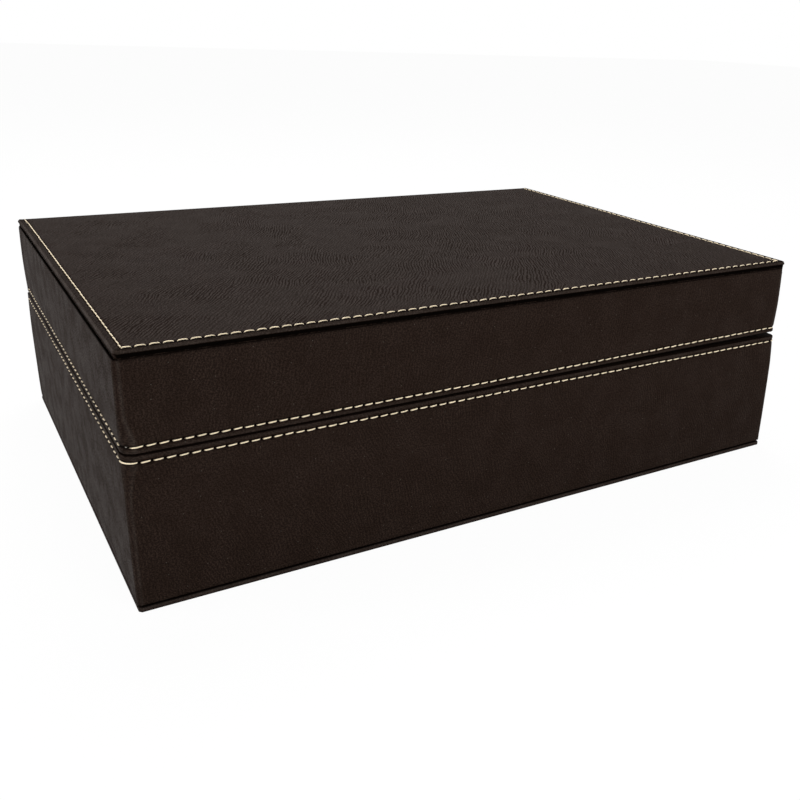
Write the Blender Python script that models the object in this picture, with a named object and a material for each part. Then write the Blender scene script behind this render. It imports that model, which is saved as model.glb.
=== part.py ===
"""A leatherette gift box whose lid turns on a leather hinge.

Boards make the walls, the floor and the ceiling. A wrap of leatherette covers
the walls of the lid and of the base, and turns in over each rim. One cover
sheet lies over the top panel, runs down the back, folds across the seam as the
hinge and goes on under the bottom panel.

Frame: +X to the right, the front faces -Y, +Z is up. The origin is the middle
of the underside. Lengths are in metres.
"""

import math

import bmesh
import bpy
from mathutils import Vector

MM = 0.001

# Overall sizes
BOX_WIDTH = 318 * MM
BOX_DEPTH = 234 * MM
BOX_HEIGHT = 100 * MM
SEAM_HEIGHT = 62 * MM
SEAM_GAP = 0.6 * MM
LID_SET_IN = 0.3 * MM

# Sheets, boards and the line of glue between them
SKIN = 1.0 * MM
GLUE_GAP = 0.3 * MM
WALL_BOARD = 2.5 * MM
FLOOR_BOARD = 2.5 * MM
PANEL_BOARD = 1.7 * MM
PANEL_OVERHANG = 0.9 * MM
TURN_IN = 12 * MM

# Rounded edges
WALL_CORNER = 2.5 * MM
TOP_PANEL_CORNER = 2.0 * MM
BOTTOM_PANEL_CORNER = 1.2 * MM
TIGHT_CORNER = 0.4 * MM
RIM_ROLL = 1.5 * MM
PANEL_ROLL = 1.5 * MM
ROLL_LIMIT_SHARE = 2.5
FOOT_ROLL_SHARE = 0.8
CORNER_STEPS = 6
ROLL_STEPS = 4

# Hinge
HINGE_HALF = 2.5 * MM
BACK_SET_IN = 2.0 * MM

# Stitch rows
THREAD_RADIUS = 0.4 * MM
THREAD_SIDES = 8
GROOVE_DEPTH = 0.5 * MM
GROOVE_SIDE_ROOM = 0.3 * MM
GROOVE_FLOOR_SHARE = 0.6
RIM_STITCH_FROM_SEAM = 3.0 * MM
PANEL_STITCH_INSET = 5.0 * MM
PANEL_STITCH_CORNER = 1.2 * MM
THREAD_END_ROOM = 1.0 * MM
CUT_OVERRUN = 1.0 * MM

# Lining
LINING = 1.6 * MM
LINING_BELOW_RIM = 4.0 * MM
FLOOR_PAD = 2.0 * MM
CEILING_PAD = 3.0 * MM
SOFT_EDGE = 0.5 * MM
SOFT_EDGE_STEPS = 2

# Places that follow from the sizes
PANEL = SKIN + GLUE_GAP + PANEL_BOARD
UNDER_SKIN = SKIN + GLUE_GAP
WALL = UNDER_SKIN + WALL_BOARD + UNDER_SKIN
BASE_FOOT = PANEL + GLUE_GAP
BASE_RIM = SEAM_HEIGHT - SEAM_GAP / 2
LID_RIM = SEAM_HEIGHT + SEAM_GAP / 2
LID_FOOT = BOX_HEIGHT - PANEL - GLUE_GAP
THREAD_LIFT = THREAD_RADIUS + GLUE_GAP - GROOVE_DEPTH
THREAD_PROUD = THREAD_LIFT + THREAD_RADIUS
BACK = (BOX_DEPTH + PANEL_OVERHANG - THREAD_PROUD) / 2
FRONT = BACK - BOX_DEPTH
GROOVE_HALF = THREAD_RADIUS + GROOVE_SIDE_ROOM
COVER_ROW_X = BOX_WIDTH / 2 + PANEL_OVERHANG - PANEL_STITCH_INSET
BACK_SHEET_X = BOX_WIDTH / 2 - BACK_SET_IN


def clear_scene():
    for thing in list(bpy.data.objects):
        bpy.data.objects.remove(thing, do_unlink=True)


def plain_material(name, colour, roughness):
    made = bpy.data.materials.new(name)
    made.use_nodes = True
    shader = made.node_tree.nodes["Principled BSDF"]
    shader.inputs["Base Color"].default_value = (*colour, 1)
    shader.inputs["Roughness"].default_value = roughness
    shader.inputs["Metallic"].default_value = 0
    return made


def add_frame(name, place):
    """An empty that carries the pieces of one body; the lid's lies on the hinge axis."""
    frame = bpy.data.objects.new(name, None)
    frame.location = place
    bpy.context.collection.objects.link(frame)
    return frame


def add_piece(name, mesh_data, look, frame, place=(0, 0, 0)):
    """Link a mesh in build coordinates, so that its own origin lies at place."""
    mesh = bpy.data.meshes.new(name)
    bmesh.ops.recalc_face_normals(mesh_data, faces=mesh_data.faces)
    bmesh.ops.translate(mesh_data, verts=mesh_data.verts, vec=-Vector(place))
    mesh_data.to_mesh(mesh)
    mesh_data.free()
    mesh.materials.append(look)
    piece = bpy.data.objects.new(name, mesh)
    bpy.context.collection.objects.link(piece)
    piece.parent = frame
    piece.location = Vector(place) - frame.location
    return piece


def smooth(piece):
    piece.data.shade_smooth()
    piece.data.set_sharp_from_angle(angle=math.radians(35))


def soften(piece, width):
    edge = piece.modifiers.new("soft_edge", "BEVEL")
    edge.width = width
    edge.segments = SOFT_EDGE_STEPS


def cut(piece, tool):
    """Cut the tool out of the piece; the tool stays as a hidden guide."""
    tool.hide_render = True
    tool.display_type = "WIRE"
    change = piece.modifiers.new(tool.name, "BOOLEAN")
    change.operation = "DIFFERENCE"
    change.solver = "EXACT"
    change.object = tool


class Outline:
    """A rectangle with round corners, seen from above, that can be drawn further in."""

    def __init__(self, half_x, front, back, radius):
        self.half_x = half_x
        self.front = front
        self.back = back
        self.radius = radius

    def loop(self, inset=0, tabs=None):
        """Points anticlockwise from the front right; tabs adds a point pair on the back edge."""
        half_x = self.half_x - inset
        front = self.front + inset
        back = self.back - inset
        radius = max(self.radius - inset, TIGHT_CORNER)
        corners = (
            (half_x - radius, front + radius, -90),
            (half_x - radius, back - radius, 0),
            (radius - half_x, back - radius, 90),
            (radius - half_x, front + radius, 180),
        )
        points = []
        for index, (x, y, start) in enumerate(corners):
            for step in range(CORNER_STEPS + 1):
                turn = math.radians(start + 90 * step / CORNER_STEPS)
                points.append((x + radius * math.cos(turn), y + radius * math.sin(turn)))
            if tabs and index == 1:
                tab = min(tabs, half_x - radius - TIGHT_CORNER)
                points += [(tab, back), (-tab, back)]
        return points


def arc(inset, height, radius, start, end):
    """Section points on an arc; the angle turns from inwards (0) to upwards (90)."""
    points = []
    for step in range(ROLL_STEPS + 1):
        turn = math.radians(start + (end - start) * step / ROLL_STEPS)
        points.append((inset + radius * math.cos(turn), height + radius * math.sin(turn)))
    return points


def add_loop(mesh_data, points, height):
    return [mesh_data.verts.new((x, y, height)) for x, y in points]


def join_loops(mesh_data, first, second, leave_out=None):
    count = len(first)
    for index in range(count):
        if index == leave_out:
            continue
        after = (index + 1) % count
        mesh_data.faces.new((first[index], first[after], second[after], second[index]))


def ring(outline, section):
    """Carry a closed section of (inset, height) points round an outline."""
    mesh_data = bmesh.new()
    loops = [add_loop(mesh_data, outline.loop(inset), height) for inset, height in section]
    for index, loop in enumerate(loops):
        join_loops(mesh_data, loops[index - 1], loop)
    return mesh_data


def slab(points, low, high):
    """A flat plate with the given outline between two heights."""
    mesh_data = bmesh.new()
    lower = add_loop(mesh_data, points, low)
    upper = add_loop(mesh_data, points, high)
    join_loops(mesh_data, lower, upper)
    mesh_data.faces.new(lower)
    mesh_data.faces.new(upper)
    return mesh_data


def block(left, right, front, back, low, high):
    return slab([(left, front), (right, front), (right, back), (left, back)], low, high)


def sweep(rows, section):
    """Carry a closed section along (point, normal) rows; its x runs sideways, its y outwards."""
    mesh_data = bmesh.new()
    rings = []
    for index, (point, normal) in enumerate(rows):
        before = rows[max(index - 1, 0)][0]
        after = rows[min(index + 1, len(rows) - 1)][0]
        side = (after - before).cross(normal).normalized()
        rings.append([mesh_data.verts.new(point + side * x + normal * y) for x, y in section])
    for first, second in zip(rings, rings[1:]):
        join_loops(mesh_data, first, second)
    mesh_data.faces.new(rings[0])
    mesh_data.faces.new(rings[-1])
    return mesh_data


def thread_section():
    turns = [2 * math.pi * side / THREAD_SIDES for side in range(THREAD_SIDES)]
    return [(THREAD_RADIUS * math.cos(turn), THREAD_RADIUS * math.sin(turn)) for turn in turns]


def groove_section():
    floor_half = GROOVE_HALF * GROOVE_FLOOR_SHARE
    return [
        (-GROOVE_HALF, CUT_OVERRUN),
        (-GROOVE_HALF, 0),
        (-floor_half, -GROOVE_DEPTH),
        (floor_half, -GROOVE_DEPTH),
        (GROOVE_HALF, 0),
        (GROOVE_HALF, CUT_OVERRUN),
    ]


def wall_outline(set_in):
    """The outside of the wrapped walls; the cover sheet lies over their back."""
    return Outline(
        BOX_WIDTH / 2 - set_in,
        FRONT + set_in,
        BACK - UNDER_SKIN,
        WALL_CORNER,
    )


def wrap_section(foot, rim):
    """Section of a wall wrap: up the outside past the stitch groove, over the rim, down inside."""
    up = 1 if rim > foot else -1
    foot_roll = SKIN * FOOT_ROLL_SHARE
    roll = min(RIM_ROLL, SKIN * ROLL_LIMIT_SHARE)
    stitch = SEAM_HEIGHT - up * RIM_STITCH_FROM_SEAM
    floor_half = GROOVE_HALF * GROOVE_FLOOR_SHARE
    flap_end = rim - up * TURN_IN
    points = arc(foot_roll, 0, foot_roll, 270, 180)
    section = [(inset, foot + up * (foot_roll + height)) for inset, height in points]
    section += [
        (0, stitch - up * GROOVE_HALF),
        (GROOVE_DEPTH, stitch - up * floor_half),
        (GROOVE_DEPTH, stitch + up * floor_half),
        (0, stitch + up * GROOVE_HALF),
    ]
    points = arc(roll, 0, roll, 180, 90) + arc(WALL - roll, 0, roll, 90, 0)
    section += [(inset, rim + up * (height - roll)) for inset, height in points]
    section += [
        (WALL, flap_end),
        (WALL - SKIN, flap_end),
        (WALL - SKIN, rim - up * SKIN),
        (SKIN, rim - up * SKIN),
        (SKIN, foot),
    ]
    return section


def cover_shell(outline, outer_face, inner_way, sheet_end):
    """The cover over one panel: face, turned-down edges and, at the back, the sheet.

    outer_face is the height of the face, inner_way is +1 or -1 from that face
    towards the panel, and sheet_end is where the back sheet stops.
    """
    roll = min(PANEL_ROLL, SKIN * ROLL_LIMIT_SHARE, PANEL)
    flange_end = outer_face + inner_way * PANEL
    section = [(SKIN, outer_face + inner_way * SKIN), (SKIN, flange_end), (0, flange_end)]
    for inset, height in arc(roll, 0, roll, 180, 90):
        section.append((inset, outer_face + inner_way * (roll - height)))
    mesh_data = bmesh.new()
    loops = []
    for inset, height in section:
        loops.append(add_loop(mesh_data, outline.loop(inset, BACK_SHEET_X), height))
    right = 2 * (CORNER_STEPS + 1)
    left = right + 1
    for index, (first, second) in enumerate(zip(loops, loops[1:])):
        join_loops(mesh_data, first, second, leave_out=right if index == 1 else None)
    mesh_data.faces.new(loops[0])
    mesh_data.faces.new(loops[-1])
    inner, outer = loops[1], loops[2]
    seat = [inner[right], outer[right], outer[left], inner[left]]
    hem = [mesh_data.verts.new((v.co.x, v.co.y, sheet_end)) for v in seat]
    join_loops(mesh_data, seat, hem)
    mesh_data.faces.new(hem)
    return mesh_data


def rim_row(set_in, height, lift):
    """Path of a rim stitch row, from the back left corner round the front to the back right."""
    half_x = BOX_WIDTH / 2 - set_in
    front = FRONT + set_in
    end = BACK - UNDER_SKIN - WALL_CORNER - THREAD_END_ROOM
    rows = [(Vector((-half_x - lift, end, height)), Vector((-1, 0, 0)))]
    for side, start in ((-1, 180), (1, 270)):
        x = side * (half_x - WALL_CORNER)
        for step in range(CORNER_STEPS + 1):
            turn = math.radians(start + 90 * step / CORNER_STEPS)
            normal = Vector((math.cos(turn), math.sin(turn), 0))
            centre = Vector((x, front + WALL_CORNER, height))
            rows.append((centre + normal * (WALL_CORNER + lift), normal))
    rows.append((Vector((half_x + lift, end, height)), Vector((1, 0, 0))))
    return rows


def cover_row(lift, sheet_end):
    """Path of the cover's stitch row: up the back, over the edge, round the panel and down."""
    roll = min(PANEL_ROLL, SKIN * ROLL_LIMIT_SHARE, PANEL)
    up, out = Vector((0, 0, 1)), Vector((0, 1, 0))
    left_side = [(Vector((-COVER_ROW_X, BACK + lift, sheet_end)), out)]
    for step in range(ROLL_STEPS + 1):
        turn = math.radians(90 * step / ROLL_STEPS)
        normal = out * math.cos(turn) + up * math.sin(turn)
        centre = Vector((-COVER_ROW_X, BACK - roll, BOX_HEIGHT - roll))
        left_side.append((centre + normal * (roll + lift), normal))
    front = FRONT - PANEL_OVERHANG + PANEL_STITCH_INSET
    centre = Vector((PANEL_STITCH_CORNER - COVER_ROW_X, front + PANEL_STITCH_CORNER, BOX_HEIGHT))
    for step in range(CORNER_STEPS + 1):
        turn = math.radians(180 + 90 * step / CORNER_STEPS)
        spoke = Vector((math.cos(turn), math.sin(turn), 0)) * PANEL_STITCH_CORNER
        left_side.append((centre + spoke + up * lift, up))
    mirror = Vector((-1, 1, 1))
    right_side = [(point * mirror, normal * mirror) for point, normal in reversed(left_side)]
    return left_side + right_side


def lower_back_row(side, lift, top, bottom):
    x = side * COVER_ROW_X
    out = Vector((0, 1, 0))
    return [(Vector((x, BACK + lift, top)), out), (Vector((x, BACK + lift, bottom)), out)]


def add_walls(body, set_in, low, high, look, frame):
    """Four wall boards; the front and back ones run past the side ones."""
    outer = wall_outline(set_in)
    half_x = outer.half_x - UNDER_SKIN
    front = outer.front + UNDER_SKIN
    back = outer.back - UNDER_SKIN
    corner = max(WALL_CORNER - UNDER_SKIN, TIGHT_CORNER)
    shell = Outline(half_x, front, back, corner).loop()
    corner_points = CORNER_STEPS + 1
    front_right, back_right = shell[:corner_points], shell[corner_points : 2 * corner_points]
    back_left = shell[2 * corner_points : 3 * corner_points]
    front_left = shell[3 * corner_points :]
    inner_front, inner_back = front + WALL_BOARD, back - WALL_BOARD
    front_points = front_left + front_right + [(half_x, inner_front), (-half_x, inner_front)]
    back_points = back_right + back_left + [(-half_x, inner_back), (half_x, inner_back)]
    middle = (low + high) / 2
    boards = {
        f"{body}_front_board": (slab(front_points, low, high), (0, front, middle)),
        f"{body}_back_board": (slab(back_points, low, high), (0, back, middle)),
    }
    side_front, side_back = inner_front + GLUE_GAP, inner_back - GLUE_GAP
    for name, side in (("left", -1), ("right", 1)):
        edges = sorted((side * half_x, side * (half_x - WALL_BOARD)))
        shape = block(*edges, side_front, side_back, low, high)
        boards[f"{body}_{name}_board"] = (shape, (side * half_x, 0, middle))
    for name, (shape, place) in boards.items():
        add_piece(name, shape, look, frame, place)


def add_lining(body, set_in, low, high, look, frame):
    """Four lined cards against the inside of the walls."""
    outer = wall_outline(set_in)
    half_x = outer.half_x - WALL - GLUE_GAP
    front = outer.front + WALL + GLUE_GAP
    back = outer.back - WALL - GLUE_GAP
    middle = (low + high) / 2
    cards = {
        "front": ((-half_x, half_x, front, front + LINING), (0, front, middle)),
        "back": ((-half_x, half_x, back - LINING, back), (0, back, middle)),
    }
    side_front, side_back = front + LINING + GLUE_GAP, back - LINING - GLUE_GAP
    for name, side in (("left", -1), ("right", 1)):
        edges = sorted((side * half_x, side * (half_x - LINING)))
        cards[name] = ((*edges, side_front, side_back), (side * half_x, 0, middle))
    for name, (extent, place) in cards.items():
        piece = add_piece(f"{body}_{name}_lining", block(*extent, low, high), look, frame, place)
        soften(piece, SOFT_EDGE)


def add_plate(name, set_in, inset, low, high, look, frame):
    """A flat board or pad between the walls, this far in from the outside of the walls."""
    outer = wall_outline(set_in)
    half_x = outer.half_x - inset
    shape = block(-half_x, half_x, outer.front + inset, outer.back - inset, low, high)
    return add_piece(name, shape, look, frame, (0, 0, low))


def add_tray(body, set_in, foot, rim, looks, frame):
    """Walls, wrap, plate, pad, lining and rim stitching of the lid or of the base."""
    up = 1 if rim > foot else -1
    board_edge = rim - up * UNDER_SKIN
    add_walls(body, set_in, *sorted((foot, board_edge)), looks["board"], frame)
    wrap = add_piece(
        f"{body}_wrap",
        ring(wall_outline(set_in), wrap_section(foot, rim)),
        looks["leather"],
        frame,
        (0, 0, foot),
    )
    smooth(wrap)
    stitch = SEAM_HEIGHT - up * RIM_STITCH_FROM_SEAM
    thread = add_piece(
        f"{body}_rim_thread",
        sweep(rim_row(set_in, stitch, THREAD_LIFT), thread_section()),
        looks["thread"],
        frame,
        (0, FRONT, stitch),
    )
    smooth(thread)
    plate_face = foot + up * FLOOR_BOARD
    between_boards = UNDER_SKIN + WALL_BOARD + GLUE_GAP
    plate_name = "base_floor_board" if up > 0 else "lid_ceiling_board"
    plate_edges = sorted((foot, plate_face))
    add_plate(plate_name, set_in, between_boards, *plate_edges, looks["board"], frame)
    pad_start = plate_face + up * GLUE_GAP
    pad = FLOOR_PAD if up > 0 else CEILING_PAD
    pad_name = "base_floor_pad" if up > 0 else "lid_ceiling_pad"
    inside_lining = WALL + GLUE_GAP + LINING + GLUE_GAP
    pad_edges = sorted((pad_start, pad_start + up * pad))
    piece = add_plate(pad_name, set_in, inside_lining, *pad_edges, looks["suede"], frame)
    soften(piece, SOFT_EDGE)
    lining_edges = sorted((pad_start, rim - up * LINING_BELOW_RIM))
    add_lining(body, set_in, *lining_edges, looks["suede"], frame)


def add_lid_cover(looks, frame):
    """Top panel board, the cover over it with its stitch groove, and the thread."""
    outline = Outline(
        BOX_WIDTH / 2 + PANEL_OVERHANG,
        FRONT - PANEL_OVERHANG,
        BACK,
        TOP_PANEL_CORNER,
    )
    low, high = BOX_HEIGHT - PANEL, BOX_HEIGHT - UNDER_SKIN
    board = slab(outline.loop(UNDER_SKIN), low, high)
    add_piece("lid_panel_board", board, looks["board"], frame, (0, 0, low))
    sheet_end = SEAM_HEIGHT + HINGE_HALF + GLUE_GAP
    shell = cover_shell(outline, BOX_HEIGHT, -1, sheet_end)
    cover = add_piece("lid_cover", shell, looks["leather"], frame, (0, 0, BOX_HEIGHT))
    groove = sweep(cover_row(0, sheet_end - CUT_OVERRUN), groove_section())
    tool = add_piece("lid_cover_groove", groove, looks["leather"], frame)
    cut(cover, tool)
    smooth(cover)
    strand = sweep(cover_row(THREAD_LIFT, sheet_end + THREAD_END_ROOM), thread_section())
    thread = add_piece("lid_cover_thread", strand, looks["thread"], frame, (0, 0, BOX_HEIGHT))
    smooth(thread)


def add_base_cover(looks, frame):
    """Bottom panel board, the cover under it and up the back, and its two stitch rows."""
    outline = Outline(BOX_WIDTH / 2, FRONT, BACK, BOTTOM_PANEL_CORNER)
    board = slab(outline.loop(UNDER_SKIN), UNDER_SKIN, PANEL)
    add_piece("base_panel_board", board, looks["board"], frame, (0, 0, UNDER_SKIN))
    sheet_end = SEAM_HEIGHT - HINGE_HALF - GLUE_GAP
    shell = cover_shell(outline, 0, 1, sheet_end)
    cover = add_piece("base_cover", shell, looks["leather"], frame)
    groove_end = PANEL + GLUE_GAP
    top, bottom = sheet_end - THREAD_END_ROOM, groove_end + THREAD_END_ROOM
    for name, side in (("left", -1), ("right", 1)):
        groove = sweep(
            lower_back_row(side, 0, sheet_end + CUT_OVERRUN, groove_end),
            groove_section(),
        )
        cut(cover, add_piece(f"base_cover_{name}_groove", groove, looks["leather"], frame))
        strand = sweep(lower_back_row(side, THREAD_LIFT, top, bottom), thread_section())
        thread = add_piece(
            f"base_cover_{name}_thread",
            strand,
            looks["thread"],
            frame,
            (side * COVER_ROW_X, BACK, top),
        )
        smooth(thread)
    smooth(cover)


def add_hinge(looks, frame):
    """The strip of the cover that folds when the lid opens, with its outer face on the axis."""
    low, high = SEAM_HEIGHT - HINGE_HALF, SEAM_HEIGHT + HINGE_HALF
    strip = block(-BACK_SHEET_X, BACK_SHEET_X, BACK - SKIN, BACK, low, high)
    add_piece("hinge_leather", strip, looks["leather"], frame, (0, BACK, SEAM_HEIGHT))


def main():
    clear_scene()
    looks = {
        "leather": plain_material("dark_leatherette", (0.025, 0.018, 0.015), 0.55),
        "board": plain_material("grey_board", (0.36, 0.33, 0.29), 0.9),
        "suede": plain_material("dark_suede", (0.035, 0.026, 0.021), 0.95),
        "thread": plain_material("cream_thread", (0.8, 0.68, 0.5), 0.7),
    }
    base = add_frame("base_frame", (0, 0, 0))
    lid = add_frame("lid_hinge_axis", (0, BACK, SEAM_HEIGHT))
    add_tray("base", 0, BASE_FOOT, BASE_RIM, looks, base)
    add_tray("lid", LID_SET_IN, LID_FOOT, LID_RIM, looks, lid)
    add_base_cover(looks, base)
    add_lid_cover(looks, lid)
    add_hinge(looks, base)


main()
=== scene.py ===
"""Looks for a leatherette gift box with stitched edges and a hinged lid.

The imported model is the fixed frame. Every visible piece is a surface worked out
with numpy around it: wrapped walls, the cover sheet over the lid, down the back
and under the box, the rows of single stitches, the lined cards and the pads.
Lengths are in metres, +Z is up and the front faces -Y.
"""

import math

import bmesh
import bpy
import numpy as np
from bpy.props import FloatProperty, FloatVectorProperty, IntProperty, PointerProperty
from mathutils import Matrix, Vector


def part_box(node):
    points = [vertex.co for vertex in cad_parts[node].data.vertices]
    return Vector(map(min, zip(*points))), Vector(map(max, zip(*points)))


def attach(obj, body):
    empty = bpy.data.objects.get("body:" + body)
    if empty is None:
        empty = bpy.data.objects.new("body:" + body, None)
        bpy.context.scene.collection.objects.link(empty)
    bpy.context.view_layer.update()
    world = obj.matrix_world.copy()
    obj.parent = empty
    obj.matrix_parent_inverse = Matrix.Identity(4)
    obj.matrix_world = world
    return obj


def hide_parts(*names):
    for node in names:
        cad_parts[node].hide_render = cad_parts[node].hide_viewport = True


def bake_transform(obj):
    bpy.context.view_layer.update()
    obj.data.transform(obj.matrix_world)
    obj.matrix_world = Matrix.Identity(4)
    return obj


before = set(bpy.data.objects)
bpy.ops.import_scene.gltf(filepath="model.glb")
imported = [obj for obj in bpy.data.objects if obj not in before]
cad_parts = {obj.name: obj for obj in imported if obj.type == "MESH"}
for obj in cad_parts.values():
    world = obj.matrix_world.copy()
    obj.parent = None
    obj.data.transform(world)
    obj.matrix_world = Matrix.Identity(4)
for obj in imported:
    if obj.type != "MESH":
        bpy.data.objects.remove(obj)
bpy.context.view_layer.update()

bl_info = {
    "name": "Stitched gift box",
    "version": (1, 0, 0),
    "blender": (4, 5, 0),
    "location": "3D View > Sidebar > Gift Box",
    "description": "Dresses the gift box in leatherette, stitching and suede",
    "category": "Add Mesh",
}

MM = 0.001

# Places taken from the frame
BASE_LOW, BASE_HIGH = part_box("base_wrap")
LID_LOW, LID_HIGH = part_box("lid_wrap")
PANEL_LOW, PANEL_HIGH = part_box("lid_cover")
FOOT_LOW, FOOT_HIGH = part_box("base_cover")
FOLD_LOW, FOLD_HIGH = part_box("hinge_leather")
SEAM = (BASE_HIGH.z + LID_LOW.z) / 2
BACK = PANEL_HIGH.y
SHEET_HALF = FOLD_HIGH.x
SHEET_THICKNESS = FOLD_HIGH.y - FOLD_LOW.y

# Sections of the wraps and covers
WALL_THICKNESS = 5.1 * MM
TURN_IN = 12 * MM
WALL_CORNER = 1.5 * MM
RIM_CORNER = 2.4 * MM
LEFT_RIM_CORNER = 4.4 * MM
FOOT_ROLL = 0.35 * MM
RIM_ROLL = 0.5 * MM
BASE_REACH = 0.5 * MM
LID_REACH = 0.27 * MM
RIM_REACH = 0.1 * MM
PANEL_THICKNESS = 3.0 * MM
LID_EDGE = 1.5 * MM
FOOT_EDGE = 1.8 * MM
LID_ROLL = 1.1 * MM
FOOT_OUTER_ROLL = 0.5 * MM
EDGE_TURN = 0.4 * MM
FRONT_STEP = 0.95 * MM
LID_STEP = 0.5 * MM
SIDE_TRIM = 1.2 * MM
FRONT_TRIM = 0.6 * MM
PANEL_SHIFT = 0.45 * MM
PANEL_CORNER = 1.6 * MM
FOOT_CORNER = 1.2 * MM
TIGHT_CORNER = 0.4 * MM

# Camera, found by fitting the box's edges and stitch rows to the photograph
PICTURE = 800
FOCAL_PIXELS = 937.3
CENTRE_PIXEL = (504.7, 377.5)
CAMERA_AZIMUTH = -33.358
CAMERA_ELEVATION = 20.481
CAMERA_DISTANCE = 544.1 * MM
CAMERA_TARGET = (71.4 * MM, 0.15 * MM, 13.35 * MM)
CAMERA_ROLL = 2.498
SENSOR_WIDTH = 36

SHEET_MAP = "sheet"
SHEET_OVERHANG = 4 * MM

# Depths and widths of the trough and of the needle holes in the leather
TROUGH = 0.24 * MM
TROUGH_WIDTH = 1.0 * MM
PIT_WIDTH = 0.42 * MM
HOLE_LENGTH = 0.5 * MM
STITCH_SIDES = 6
TWIST_PITCH = 1.1 * MM

# The leather's own shine, a thin coat over a matt ground
COAT = 0.37
COAT_IOR = 1.12
SPECK_COLOUR = (0.13, 0.115, 0.10, 1)
# Near-black colour of the painted shade in crevices, troughs, needle holes and the seam
PAINTED_SHADE_COLOUR = (0.0012, 0.0008, 0.0006, 1)
WHITE = (1, 1, 1, 1)

# The grain works on a map in millimetres; these are its settings and its depth in them
MM_MAP = (1000, 1000, 1000)
GRAIN_HEIGHT = 0.07
GRAIN_INPUTS = {
    "First Turn": 0.6,
    "Second Turn": 1.4,
    "Lean": 0.0,
    "Crease": 1.0,
    "Pebble": 1.0,
    "Smear": 1.0,
    "Shift": 0.0,
}
PANEL_GRAIN = {"First Turn": -0.95, "Second Turn": -1.18, "Lean": 0.0016, "Shift": 40.0}
PANEL_CLOUD = (0.96, 1.08)
WALL_GRAIN = {
    "First Turn": 1.40,
    "Second Turn": 1.05,
    "Crease": 0.5,
    "Pebble": 1.2,
    "Smear": 0.9,
    "Shift": 310.0,
}
WALL_CLOUD = (0.72, 1.20)


def count(name, description, default):
    return IntProperty(name=name, description=description, default=default)


def length(name, description, default):
    return FloatProperty(name=name, description=description, default=default, unit="LENGTH")


def colour(name, description, *default):
    return FloatVectorProperty(name=name, description=description, default=default, subtype="COLOR")


class GiftBoxSizes(bpy.types.PropertyGroup):
    """Sizes of the stitching and of the soft details."""

    front_stitches: count("Front stitches", "Stitches along the front of a rim row", 72)
    side_stitches: count("Side stitches", "Stitches along each side of a rim row", 47)
    panel_front_stitches: count("Panel front stitches", "Stitches along the front of the lid", 68)
    panel_side_stitches: count("Panel side stitches", "Stitches along each side of the lid", 50)
    rim_row: length("Rim row", "Distance of a rim row from the middle of the seam", 2.9 * MM)
    panel_row: length("Panel row", "Distance of the lid's row from the panel's edge", 3.2 * MM)
    thread: length("Thread", "Radius of the thread", 0.265 * MM)
    crown: length("Crown", "How far a wall swells in its middle", 0.35 * MM)
    rim_rise: length("Rim rise", "How far the lid's rim lifts towards the front right corner", 1.3 * MM)


class GiftBoxColours(bpy.types.PropertyGroup):
    """Colours of the finishes, as linear light."""

    leather: colour("Leather", "Dark leatherette", 0.0205, 0.0125, 0.0092)
    # Colour of the painted highlights along rolled edges, lips and corner ridges
    leather_highlight: colour("Rubbed leather", "Leatherette where an edge is rubbed", 0.062, 0.050, 0.043)
    thread: colour("Thread", "Cream thread", 0.86, 0.73, 0.52)
    thread_gold: colour("Thread in shade", "Thread between its plies", 0.62, 0.42, 0.20)
    suede: colour("Suede", "Lining cloth", 0.042, 0.030, 0.024)
    board: colour("Board", "Grey board", 0.36, 0.33, 0.29)
    floor: colour("Floor", "Pale studio floor", 0.90, 0.90, 0.90)


def smooth_step(value, start, end):
    """Rises from 0 at start to 1 at end as 3t^2 - 2t^3, with t the clipped share of the way."""
    share = np.clip((value - start) / (end - start), 0, 1)
    return share * share * (3 - 2 * share)


def bell(distance, width):
    """The bell curve exp(-(distance / width)^2)."""
    return np.exp(-((distance / width) ** 2))


def joined(*parts):
    """The parts spread to one shape and joined along a new last axis."""
    return np.stack(np.broadcast_arrays(*parts), axis=-1)


def spread(length, step, fine, spots, reach):
    """Places from 0 to length, about step apart, and about fine apart within reach of each spot.

    The places are equal steps of the integral of the wanted density.
    """
    tight = np.linspace(0, length, 4001)
    density = np.full_like(tight, 1 / step)
    for spot in spots:
        density += (1 / fine - 1 / step) * np.exp(-(((tight - spot) / reach) ** 4))
    total = np.concatenate(([0], np.cumsum((density[1:] + density[:-1]) / 2 * np.diff(tight))))
    count = int(math.ceil(total[-1]))
    return np.interp(np.linspace(0, total[-1], count + 1), total, tight)


def closed_walk(outline, front, side):
    """Places round an outline, from those of its front and of its right side.

    The front's places are made the same from both ends, so that the front and
    back match in X and a face can close on its middle line.
    """
    starts = outline.starts
    front = (front + starts[1] - front[::-1]) / 2
    runs = (front, side, front, side)
    return np.concatenate([start + run[:-1] for start, run in zip(starts, runs)])


def arc(centre, radius, start, end, steps):
    """Points of an arc in a section, as inset and height; 0 degrees is inwards and 90 is up."""
    turn = np.radians(np.linspace(start, end, steps + 1))
    return np.stack((centre[0] + radius * np.cos(turn), centre[1] + radius * np.sin(turn)), axis=1)


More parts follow.
